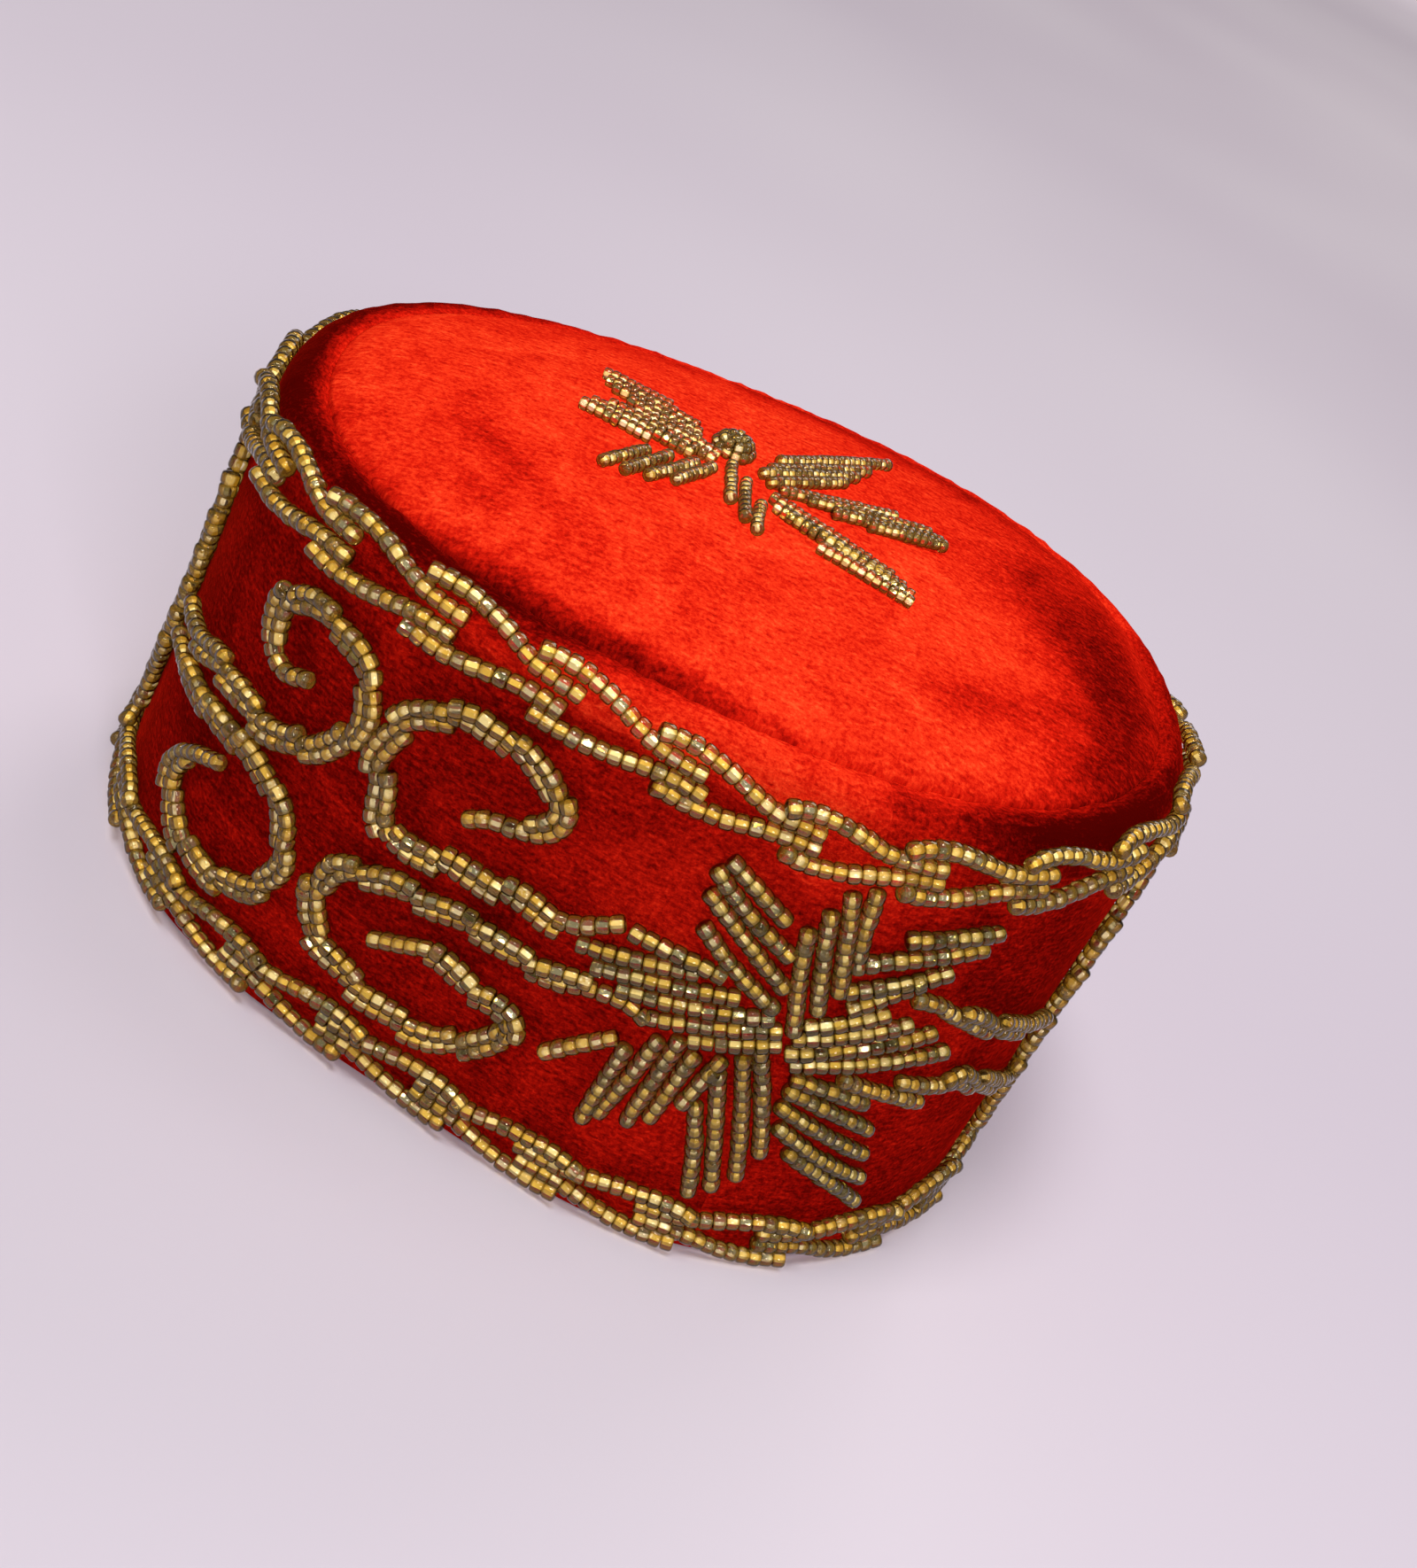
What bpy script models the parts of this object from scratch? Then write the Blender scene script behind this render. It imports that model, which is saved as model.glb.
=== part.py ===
"""A beaded velvet cap: a stiff band, a domed top, two bead ropes, and scrolls and flowers of bead strings.

Metres, +Z up. The hem stands on z = 0 once the frame has raised it; X runs along the oval, Y across it.
"""

import bisect
import math

import bmesh
import bpy

# Band: the outer face of the velvet at the hem, and what changes on the way up
HEM_HALF_LENGTH = 0.1016
HEM_HALF_WIDTH = 0.0809
BAND_HEIGHT = 0.0977
BAND_LEAN = 0.0048
OVAL_POWER = 2.25
CLOTH = 0.0025

# The soft band is pushed out of round in three lobes, more at the hem than at the top, and less at the back
# The hem also sits a little to the right, and the whole right end reaches further out than the left one
SWELL_LOBES = 3
SWELL_BEARING = 296.0
HEM_SWELL = 0.0065
TOP_SWELL = 0.0014
HEM_SHIFT = 0.0028
RIGHT_REACH = 0.0022
BACK_CALM = 0.8

# The hem is folded a little below the zero that the pattern's heights are measured from
HEM_DROP = 0.0028

# Shoulder above the band, a rounded turn that goes just past level, and the domed top inside it
SHOULDER_RISE = 0.0082
SHOULDER_DEPTH = 0.0066
SHOULDER_TURN = 105.0
DOME_RISE = 0.0060
DOME_POWER = 2.5
CROWN_PUFF = 0.0024
PUFF_REACH_PERCENT = 5
SEAM_GAP = 0.0003

# The soft shoulder and the top sink a little on the far left side
SINK = 0.0024
SINK_BEARING = 122.0

# Bead work
SEAT_GAP = 0.00045
ROPE_HALF_WIDTH = 0.0059
ROPE_THICKNESS = 0.0044
ROPE_PINCH_PERCENT = 16
LOWER_ROPE_HEIGHT = 0.0062
UPPER_ROPE_UNITS = 24
LOWER_ROPE_UNITS = 25
ROPE_WANDER = 0.0024
ROPE_WANDER_BEARING = 231.0
HEM_ROPE_WANDER = 0.0015
HEM_ROPE_BEARING = 128.0
SCROLL_RADIUS = 0.0020
LEAF_THICKNESS = 0.0031
LEAF_MARGIN = 0.0013
SPRIG_THICKNESS = 0.0022
SPRIG_MARGIN = 0.0009
LEAF_STEP = 0.008
KNOB_RADIUS = 0.0042
KNOB_FLATNESS = 0.55

# The frame puts the part's origin under the middle of its bounding box
FRAME_PLACE = (0.0022, 0.0021, 0.0028)

# Where the flower's middle stands round the band, and how far round the second flower is
FLOWER_BEARING = 291.5
WHOLE_ROUND = 1000.0
SIDES = {"front": 0.0, "back": WHOLE_ROUND / 2}

# At the back the pattern's upper part is pressed down, so that it stays clear of the lower rope there
PRESS_FROM_PERCENT = 60
PRESS_SHARE = 0.14

# Facets
BAND_STATIONS = 60
ROPE_STEPS = 4
GIRTH_SAMPLES = 720
ROUTE_SAMPLES = 12
LONGEST_STEP = 0.012
MOST_TURN = math.radians(30)

# Rows of a rope's section: across its width and out from the velvet, as shares
ROPE_SECTION = [(-0.55, 0.0), (0.0, 0.0), (0.55, 0.0), (1.0, 0.42), (0.5, 1.0), (-0.5, 1.0), (-1.0, 0.42)]

# How much lower the upper rope runs along the back: bearing in degrees, and metres
ROPE_DROPS = [
    (0, 0.0020), (12, 0.0052), (40, 0.0046), (90, 0.0048), (126, 0.0052), (150, 0.0039), (175, 0.0014), (200, 0.0),
    (344, 0.0), (360, 0.0020),
]

# Rings of the top panel, as shares of the way out from its middle
DOME_RINGS = [0.30, 0.58, 0.80, 0.93, 1.0]

# Heights of the band's sections from hem to shoulder, and turns of those on the shoulder, as shares
BAND_ROWS = [0.0, 0.5, 1.0]
SHOULDER_ROWS = [0.22, 0.45, 0.7, 1.0]

# Routes of the bead chains: thousandths of the way round from the flower, and hundredths of the band's height
ROUTES = {
    "scroll_1": [
        (-63, 66), (-79, 60), (-93, 60), (-108, 59), (-122, 58), (-134, 56), (-143, 58), (-148, 65),
        (-152, 70), (-150, 77), (-145, 83), (-136, 87), (-126, 89), (-115, 89), (-105, 87), (-97, 84),
        (-94, 79), (-98, 75), (-105, 73), (-113, 72), (-120, 69),
    ],
    "scroll_2": [
        (-44, 48), (-54, 50), (-77, 48), (-91, 48), (-105, 49), (-119, 48), (-133, 47), (-143, 45),
        (-152, 42), (-156, 37), (-156, 31), (-153, 26), (-147, 23), (-138, 21), (-131, 19), (-119, 18),
        (-106, 18), (-97, 20), (-89, 24), (-82, 28), (-82, 33), (-89, 35), (-98, 35), (-106, 37),
        (-114, 38), (-124, 35), (-134, 32),
    ],
    "scroll_3": [
        (-262, 56), (-250, 56), (-237, 57), (-219, 59), (-192, 58), (-178, 61), (-167, 66), (-161, 73),
        (-161, 80), (-168, 86), (-180, 88), (-192, 88), (-201, 85), (-204, 80), (-203, 74), (-194, 71),
        (-183, 74),
    ],
    "scroll_4": [
        (-262, 48), (-239, 48), (-218, 49), (-201, 50), (-189, 49), (-179, 46), (-173, 40), (-171, 33),
        (-176, 25), (-187, 20), (-199, 18), (-213, 19), (-223, 23), (-228, 29), (-225, 35), (-216, 39),
        (-206, 42),
    ],
    "left_vine": [(-279, 91), (-275, 81), (-273, 70), (-273, 60), (-275, 50), (-278, 40), (-281, 29), (-284, 17)],
    "right_vine": [(136, 89), (133, 82), (129, 68), (124.5, 56), (122.5, 44), (123, 32), (126, 17)],
    "stem_1": [(34, 70), (44, 69), (54, 66), (67, 64), (80, 61), (93, 59), (105, 57), (117, 55)],
    "stem_2": [(44, 49), (52, 48), (63, 47), (73, 48), (84, 45), (96, 42), (108, 39), (117, 37)],
    "small_leaf_left": [(-69, 30), (-60, 36), (-50, 42)],
    "small_leaf_right": [(28, 46), (42, 43), (57, 41)],
}

# Leaves of the flower, each a row of bead strings: start and end, measured as the routes are
LEAVES = {
    "leaf_up_left": [(-40, 88, -18, 79), (-44, 83, -14, 73), (-42, 78, -11, 68), (-41, 73, -13, 64)],
    "leaf_up": [(-10, 79, -1, 62), (-5, 84, 5, 65), (-1, 88, 8, 70), (5, 90, 10, 75)],
    "leaf_right_high": [(25, 83, 55, 86), (15, 76, 52, 82), (15, 71, 43, 76), (17, 67, 32, 73)],
    "leaf_right_low": [(3, 57, 26, 64), (5, 55, 36, 62), (6, 53, 49, 60), (9, 51, 60, 56)],
    "leaf_low_right": [(10, 47, 26, 42), (10, 43, 43, 34), (11, 38, 47, 27), (13, 33, 53, 20), (22, 27, 54, 15)],
    "leaf_down": [(-4, 50, 8, 27), (-10, 47, 5, 20), (-12, 40, -1, 17), (-16, 33, -7, 17)],
    "leaf_down_left": [(-47, 39, -48, 21), (-39, 42, -42, 22), (-31, 43, -35, 25), (-24, 44, -28, 28), (-17, 44, -21, 34)],
    "leaf_left": [(-62, 61, -29, 64), (-68, 57, -36, 62), (-63, 54, -23, 60), (-53, 53, -11, 57), (-35, 52, -6, 55)],
}

# Leaves of the sprig on the top: start and end of each string, in hundredths of the top's half length and width
SPRIG = {
    "sprig_left_high": [(-47, 34, -30, 27), (-46, 29, -23, 20), (-44, 25, -22, 16), (-40, 20, -22, 12)],
    "sprig_left_mid": [(-50, 6, -33, 0), (-48, 9, -23, 1), (-44, 12, -18, 3), (-38, 14, -17, 7)],
    "sprig_left_low": [(-42, -25, -33, -8), (-37, -25, -28, -6), (-32, -23, -22, -4), (-26, -19, -18, -2)],
    "sprig_stem": [(-14, 5, -13, -17), (-10, -2, -9, -24), (-6, -12, -6, -28)],
    "sprig_right_far": [(-3, 20, 26, 58), (-5, 12, 20, 43), (-7, 7, 17, 34), (-5, 3, 14, 26)],
    "sprig_right_mid": [(-2, 1, 27, 18), (5, 3, 36, 18), (11, 2, 39, 16), (20, 4, 40, 14)],
    "sprig_right_near": [(-4, -5, 26, -21), (-3, -10, 29, -24), (0, -12, 31, -27), (8, -22, 31, -30)],
}
KNOB_PLACE = (-14, 17)


def oval_radius(bearing, half_length, half_width):
    """Distance from the middle to a rounded oval, in the direction of the bearing in radians."""
    along = abs(math.cos(bearing) / half_length) ** OVAL_POWER
    across = abs(math.sin(bearing) / half_width) ** OVAL_POWER
    return (along + across) ** (-1 / OVAL_POWER)


def plan_point(bearing, climb_share, inset):
    """A point of the cap's plan, at a share of the band's height, moved in by the inset."""
    reach = RIGHT_REACH if math.cos(bearing) > 0 else 0.0
    half_length = HEM_HALF_LENGTH + reach - BAND_LEAN * climb_share - inset
    half_width = HEM_HALF_WIDTH - BAND_LEAN * climb_share - inset
    swell = HEM_SWELL + (TOP_SWELL - HEM_SWELL) * climb_share
    calm = 1 - BACK_CALM * max(0.0, math.sin(bearing)) ** 2
    lobe = math.cos(SWELL_LOBES * (bearing - math.radians(SWELL_BEARING)))
    radius = oval_radius(bearing, half_length, half_width) + swell * calm * lobe
    shift = HEM_SHIFT * (1 - climb_share)
    return radius * math.cos(bearing) + shift, radius * math.sin(bearing)


def sink(bearing):
    """How much lower the shoulder stands at a bearing in radians than at the front."""
    return SINK * max(0.0, math.cos(bearing - math.radians(SINK_BEARING))) ** 2


def skin_point(bearing, climb, lift):
    """A point that stands off the outer velvet by the lift, at a climb measured up the band and the shoulder."""
    if climb <= BAND_HEIGHT:
        x, y = plan_point(bearing, climb / BAND_HEIGHT, -lift)
        return x, y, climb
    turn = 2 * (climb - BAND_HEIGHT) / (SHOULDER_RISE + SHOULDER_DEPTH)
    inset = (SHOULDER_DEPTH + lift) * (1 - math.cos(turn)) - lift
    x, y = plan_point(bearing, 1.0, inset)
    return x, y, BAND_HEIGHT + (SHOULDER_RISE - sink(bearing) + lift) * math.sin(turn)


def girth_table():
    """Bearings round the band at half its height, and the length walked to each of them."""
    bearings = [math.radians(FLOWER_BEARING) + 2 * math.pi * i / GIRTH_SAMPLES for i in range(GIRTH_SAMPLES + 1)]
    points = [plan_point(bearing, 0.5, 0.0) for bearing in bearings]
    walked = [0.0]
    for start, end in zip(points, points[1:]):
        walked.append(walked[-1] + math.dist(start, end))
    return bearings, walked


BEARINGS, WALKED = girth_table()


def bearing_at(along):
    """The bearing that lies so many thousandths of the way round from the flower's middle."""
    target = (along % WHOLE_ROUND) / WHOLE_ROUND * WALKED[-1]
    index = min(bisect.bisect_right(WALKED, target), GIRTH_SAMPLES) - 1
    step = (target - WALKED[index]) / (WALKED[index + 1] - WALKED[index])
    return BEARINGS[index] + step * (BEARINGS[index + 1] - BEARINGS[index])


def band_point(along, height, lift):
    """A point over the band, at thousandths of the way round and hundredths of the band's height."""
    return skin_point(bearing_at(along), height / 100 * BAND_HEIGHT, lift)


def seam_inset():
    """How far in from the band's outer face the crown seam lies."""
    return SHOULDER_DEPTH * (1 - math.cos(math.radians(SHOULDER_TURN)))


def top_point(bearing, share, lift):
    """A point over the domed top, at a share of the way from its middle to the seam."""
    x, y = plan_point(bearing, 1.0, seam_inset() + SEAM_GAP)
    seam_height = BAND_HEIGHT + (SHOULDER_RISE - sink(bearing) * share**2) * math.sin(math.radians(SHOULDER_TURN))
    puff = CROWN_PUFF * (1 - math.exp((share - 1) * 100 / PUFF_REACH_PERCENT))
    return x * share, y * share, seam_height + DOME_RISE * (1 - share**DOME_POWER) + puff + lift


def sprig_point(along, across, lift):
    """A point over the domed top, at hundredths of its half length and half width."""
    inset = BAND_LEAN + seam_inset()
    x = along / 100 * (HEM_HALF_LENGTH - inset)
    y = across / 100 * (HEM_HALF_WIDTH - inset)
    bearing = math.atan2(y, x)
    edge = math.hypot(*top_point(bearing, 1.0, 0.0)[:2])
    return x, y, top_point(bearing, math.hypot(x, y) / edge, lift)[2]


def make_material(name, colour, roughness, metallic):
    material = bpy.data.materials.new(name)
    material.use_nodes = True
    shader = material.node_tree.nodes["Principled BSDF"]
    shader.inputs["Base Color"].default_value = (*colour, 1.0)
    shader.inputs["Roughness"].default_value = roughness
    shader.inputs["Metallic"].default_value = metallic
    return material


def add_object(name, data, material, collection, frame):
    """Puts a mesh or curve in the cap's collection, under the cap's frame."""
    data.materials.append(material)
    piece = bpy.data.objects.new(name, data)
    collection.objects.link(piece)
    piece.parent = frame
    return piece


def finish_mesh(name, shape):
    """Turns the faces outwards and shades them smooth apart from the sharp edges."""
    bmesh.ops.recalc_face_normals(shape, faces=shape.faces)
    mesh = bpy.data.meshes.new(name)
    shape.to_mesh(mesh)
    shape.free()
    mesh.shade_smooth()
    mesh.set_sharp_from_angle(angle=math.radians(50))
    return mesh


def ring_mesh(name, sections):
    """A closed ring through sections that stand one after another round the cap."""
    shape = bmesh.new()
    rows = [[shape.verts.new(point) for point in section] for section in sections]
    count = len(rows[0])
    for row, following in zip(rows, rows[1:] + rows[:1]):
        for i in range(count):
            j = (i + 1) % count
            shape.faces.new((row[i], row[j], following[j], following[i]))
    return finish_mesh(name, shape)


def band_mesh():
    """The velvet wall: its outer face up the band and over the shoulder, and its inner face a cloth's width in."""
    turns = [row * math.radians(SHOULDER_TURN) for row in SHOULDER_ROWS]
    climbs = [share * (BAND_HEIGHT + HEM_DROP) - HEM_DROP for share in BAND_ROWS]
    climbs += [BAND_HEIGHT + turn * (SHOULDER_RISE + SHOULDER_DEPTH) / 2 for turn in turns]
    sections = []
    for station in range(BAND_STATIONS):
        bearing = bearing_at(station * WHOLE_ROUND / BAND_STATIONS)
        outer = [skin_point(bearing, climb, 0.0) for climb in climbs]
        inner = [skin_point(bearing, climb, -CLOTH) for climb in climbs]
        sections.append(outer + inner[::-1])
    return ring_mesh("side_band", sections)


def crown_mesh():
    """The domed velvet top, a cloth's width thick, inside the seam."""
    shape = bmesh.new()
    bearings = [bearing_at(i * WHOLE_ROUND / BAND_STATIONS) for i in range(BAND_STATIONS)]
    rings = []
    for lift in (0.0, -CLOTH):
        middle = shape.verts.new(top_point(0.0, 0.0, lift))
        rings.append([middle, [[shape.verts.new(top_point(b, share, lift)) for b in bearings] for share in DOME_RINGS]])
    for middle, layers in rings:
        for i in range(BAND_STATIONS):
            j = (i + 1) % BAND_STATIONS
            shape.faces.new((middle, layers[0][i], layers[0][j]))
            for inner, outer in zip(layers, layers[1:]):
                shape.faces.new((inner[i], outer[i], outer[j], inner[j]))
    top_edge = rings[0][1][-1]
    under_edge = rings[1][1][-1]
    for i in range(BAND_STATIONS):
        j = (i + 1) % BAND_STATIONS
        shape.faces.new((top_edge[i], under_edge[i], under_edge[j], top_edge[j]))
    return finish_mesh("crown_top", shape)


def rope_drop(turn):
    """How much lower the upper rope runs at a bearing in degrees."""
    for (start, low), (end, high) in zip(ROPE_DROPS, ROPE_DROPS[1:]):
        if turn <= end:
            share = (1 - math.cos(math.pi * (turn - start) / (end - start))) / 2
            return low + (high - low) * share
    return 0.0


def upper_rope_height(bearing):
    """The middle of the upper rope: it wanders up and down in front, and runs lower along the back."""
    back = max(0.0, math.sin(bearing))
    wander = ROPE_WANDER * math.cos(SWELL_LOBES * (bearing - math.radians(ROPE_WANDER_BEARING)))
    return BAND_HEIGHT + wander * (1 - BACK_CALM * back**2) - rope_drop(math.degrees(bearing) % 360)


def lower_rope_height(bearing):
    """The middle of the rope along the hem, which runs lowest under the right of the front flower."""
    return LOWER_ROPE_HEIGHT + HEM_ROPE_WANDER * math.cos(bearing - math.radians(HEM_ROPE_BEARING))


def rope_mesh(name, height_at, units):
    """A thick chain of bead strings round the band, widest where its strands start."""
    stations = units * ROPE_STEPS
    sections = []
    for station in range(stations):
        bearing = bearing_at(station * WHOLE_ROUND / stations)
        narrowing = ROPE_PINCH_PERCENT / 100 * math.sin(math.pi * (station % ROPE_STEPS) / ROPE_STEPS)
        half_width = ROPE_HALF_WIDTH * (1 - narrowing)
        section = []
        for across, out in ROPE_SECTION:
            climb = height_at(bearing) + across * half_width
            section.append(skin_point(bearing, climb, SEAT_GAP + out * ROPE_THICKNESS))
        sections.append(section)
    return ring_mesh(name, sections)


def pattern_height(side, height):
    """Height of a point of the pattern, in hundredths of the band's height."""
    if side == "back" and height > PRESS_FROM_PERCENT:
        return height - PRESS_SHARE * (height - PRESS_FROM_PERCENT)
    return height


def smooth_route(points):
    """Places on a smooth curve through the route's points, close together."""
    ends = [points[0]] + list(points) + [points[-1]]
    places = []
    for before, start, end, after in zip(ends, ends[1:], ends[2:], ends[3:]):
        for i in range(ROUTE_SAMPLES):
            t = i / ROUTE_SAMPLES
            place = []
            for a, b, c, d in zip(before, start, end, after):
                curve = 2 * b + (c - a) * t + (2 * a - 5 * b + 4 * c - d) * t**2 + (3 * b - a - 3 * c + d) * t**3
                place.append(curve / 2)
            places.append(place)
    places.append(list(points[-1]))
    return places


def route_stations(route):
    """Points of a chain's centre line, closer together where it turns."""
    lift = SCROLL_RADIUS + SEAT_GAP
    line = [band_point(along, height, lift) for along, height in smooth_route(route)]
    kept = [line[0]]
    walked = 0.0
    turned = 0.0
    for before, here, after in zip(line, line[1:], line[2:]):
        walked += math.dist(before, here)
        first = [b - a for a, b in zip(before, here)]
        second = [b - a for a, b in zip(here, after)]
        across = sum(p * q for p, q in zip(first, second))
        turned += math.acos(min(1.0, across / (math.hypot(*first) * math.hypot(*second))))
        if walked > LONGEST_STEP or turned > MOST_TURN:
            kept.append(here)
            walked = 0.0
            turned = 0.0
    if math.dist(kept[-1], line[-1]) < SCROLL_RADIUS:
        kept.pop()
    kept.append(line[-1])
    return kept


def chain_curve(name, route):
    """A round tube along a route, for a thick chain of overlapping bead strings."""
    points = route_stations(route)
    curve = bpy.data.curves.new(name, "CURVE")
    curve.dimensions = "3D"
    curve.bevel_depth = SCROLL_RADIUS
    curve.bevel_resolution = 2
    curve.use_fill_caps = True
    spline = curve.splines.new("POLY")
    spline.points.add(len(points) - 1)
    for place, point in zip(spline.points, points):
        place.co = (*point, 1.0)
    return curve


def leaf_mesh(name, strings, place, thickness, margin):
    """A bundle of straight strings side by side: a thin pad from the first string to the last."""
    longest = max(math.dist(place(a, b, 0.0), place(c, d, 0.0)) for a, b, c, d in strings)
    steps = math.ceil(longest / LEAF_STEP)
    rows = []
    for start_a, start_b, end_a, end_b in strings:
        row = []
        for step in range(steps + 1):
            share = step / steps
            row.append((start_a + (end_a - start_a) * share, start_b + (end_b - start_b) * share))
        rows.append(row)
    low = [[place(a, b, SEAT_GAP) for a, b in row] for row in rows]
    high = [[place(a, b, SEAT_GAP + thickness) for a, b in row] for row in rows]
    for layer in (low, high):
        widen(layer, 0, 1, margin)
        widen(layer, -1, -2, margin)
    shape = bmesh.new()
    bottom = [[shape.verts.new(point) for point in row] for row in low]
    top = [[shape.verts.new(point) for point in row] for row in high]
    for layer in (bottom, top):
        for row, following in zip(layer, layer[1:]):
            for i in range(steps):
                shape.faces.new((row[i], row[i + 1], following[i + 1], following[i]))
    for row in (0, -1):
        for i in range(steps):
            shape.faces.new((bottom[row][i], bottom[row][i + 1], top[row][i + 1], top[row][i]))
    for column in (0, -1):
        for i in range(len(rows) - 1):
            shape.faces.new((bottom[i][column], bottom[i + 1][column], top[i + 1][column], top[i][column]))
    return finish_mesh(name, shape)


def widen(layer, edge, inside, margin):
    """Moves a pad's edge row out by the margin, away from the row inside it."""
    moved = []
    for here, other in zip(layer[edge], layer[inside]):
        gap = math.dist(here, other)
        moved.append(tuple(a + (a - b) * margin / gap for a, b in zip(here, other)))
    layer[edge] = moved


def knob_mesh():
    """The sprig's round knob of beads, a flattened ball that rests on the top."""
    shape = bmesh.new()
    bmesh.ops.create_uvsphere(shape, u_segments=12, v_segments=8, radius=KNOB_RADIUS)
    bmesh.ops.scale(shape, vec=(1.0, 1.0, KNOB_FLATNESS), verts=shape.verts)
    middle = sprig_point(*KNOB_PLACE, SEAT_GAP + KNOB_RADIUS * KNOB_FLATNESS)
    bmesh.ops.translate(shape, vec=middle, verts=shape.verts)
    return finish_mesh("sprig_knob", shape)


def main():
    for leftover in list(bpy.data.objects):
        bpy.data.objects.remove(leftover, do_unlink=True)
    collection = bpy.data.collections.new("beaded_cap")
    bpy.context.scene.collection.children.link(collection)
    frame = bpy.data.objects.new("cap_frame", None)
    frame.location = FRAME_PLACE
    collection.objects.link(frame)

    velvet = make_material("red_velvet", (0.62, 0.01, 0.005), 0.75, 0.0)
    crown_velvet = make_material("red_velvet_top", (0.72, 0.015, 0.005), 0.7, 0.0)
    rope_beads = make_material("gold_lined_beads_rope", (0.50, 0.36, 0.12), 0.25, 0.8)
    scroll_beads = make_material("gold_lined_beads_scroll", (0.46, 0.33, 0.12), 0.25, 0.8)
    leaf_beads = make_material("gold_lined_beads_leaf", (0.42, 0.31, 0.13), 0.25, 0.8)
    sprig_beads = make_material("gold_lined_beads_sprig", (0.45, 0.35, 0.16), 0.25, 0.8)

    add_object("side_band", band_mesh(), velvet, collection, frame)
    add_object("crown_top", crown_mesh(), crown_velvet, collection, frame)
    upper = rope_mesh("upper_rope", upper_rope_height, UPPER_ROPE_UNITS)
    lower = rope_mesh("lower_rope", lower_rope_height, LOWER_ROPE_UNITS)
    add_object("upper_rope", upper, rope_beads, collection, frame)
    add_object("lower_rope", lower, rope_beads, collection, frame)

    for side, shift in SIDES.items():
        for name, route in ROUTES.items():
            full_name = f"{side}_{name}"
            moved = [(a + shift, pattern_height(side, b)) for a, b in route]
            add_object(full_name, chain_curve(full_name, moved), scroll_beads, collection, frame)
        for name, strings in LEAVES.items():
            full_name = f"{side}_{name}"
            turned = []
            for a, b, c, d in strings:
                turned.append((a + shift, pattern_height(side, b), c + shift, pattern_height(side, d)))
            mesh = leaf_mesh(full_name, turned, band_point, LEAF_THICKNESS, LEAF_MARGIN)
            add_object(full_name, mesh, leaf_beads, collection, frame)

    for name, strings in SPRIG.items():
        mesh = leaf_mesh(name, strings, sprig_point, SPRIG_THICKNESS, SPRIG_MARGIN)
        add_object(name, mesh, sprig_beads, collection, frame)
    add_object("sprig_knob", knob_mesh(), sprig_beads, collection, frame)


main()
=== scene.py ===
"""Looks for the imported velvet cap: cloth shells, glass bead strings, and a plain studio.

Lengths are in metres. Places on the band are given in thousandths of the way round from the
flower's middle and in hundredths of the band's height, as in the part's own source.
"""

import bisect
import math
import random

import bmesh
import bpy
from mathutils import Matrix, Vector, noise


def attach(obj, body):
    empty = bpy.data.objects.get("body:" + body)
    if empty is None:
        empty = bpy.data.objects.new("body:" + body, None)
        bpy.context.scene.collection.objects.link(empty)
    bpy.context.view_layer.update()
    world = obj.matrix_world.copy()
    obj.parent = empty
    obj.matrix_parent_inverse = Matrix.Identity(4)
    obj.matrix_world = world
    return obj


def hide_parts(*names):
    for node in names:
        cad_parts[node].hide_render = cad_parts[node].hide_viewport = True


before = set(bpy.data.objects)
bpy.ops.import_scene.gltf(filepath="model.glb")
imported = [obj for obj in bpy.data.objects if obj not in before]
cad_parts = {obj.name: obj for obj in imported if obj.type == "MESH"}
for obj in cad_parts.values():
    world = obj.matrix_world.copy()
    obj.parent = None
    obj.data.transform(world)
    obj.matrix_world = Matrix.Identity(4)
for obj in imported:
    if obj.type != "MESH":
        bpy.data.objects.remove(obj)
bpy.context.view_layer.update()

bl_info = {
    "name": "Beaded cap dresser",
    "version": (1, 0, 0),
    "blender": (4, 5, 0),
    "location": "3D View > Sidebar > Cap",
    "description": "Dresses the packed cap with velvet, glass bead strings and a studio",
    "category": "Object",
}

# The cap's form, as the part's source has it
FRAME_PLACE = (0.0022, 0.0021, 0.0028)
HEM_HALF_LENGTH = 0.1016
HEM_HALF_WIDTH = 0.0809
BAND_HEIGHT = 0.0977
BAND_LEAN = 0.0048
OVAL_POWER = 2.25
CLOTH = 0.0025
SWELL_LOBES = 3
SWELL_BEARING = 296.0
HEM_SWELL = 0.0065
TOP_SWELL = 0.0014
HEM_SHIFT = 0.0028
RIGHT_REACH = 0.0022
BACK_CALM = 0.8
HEM_DROP = 0.0028
SHOULDER_RISE = 0.0082
SHOULDER_DEPTH = 0.0066
SHOULDER_TURN = 105.0
DOME_RISE = 0.0060
DOME_POWER = 2.5
CROWN_PUFF = 0.0024
PUFF_REACH_PERCENT = 5
SEAM_GAP = 0.0003
SINK = 0.0024
SINK_BEARING = 122.0
LOWER_ROPE_HEIGHT = 0.0062
UPPER_ROPE_UNITS = 24
LOWER_ROPE_UNITS = 25
ROPE_WANDER = 0.0024
ROPE_WANDER_BEARING = 231.0
HEM_ROPE_WANDER = 0.0015
HEM_ROPE_BEARING = 128.0
FLOWER_BEARING = 291.5
WHOLE_ROUND = 1000.0
GIRTH_SAMPLES = 720
SIDES = {"front": 0.0, "back": WHOLE_ROUND / 2}
PRESS_FROM_PERCENT = 60
PRESS_SHARE = 0.14

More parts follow.
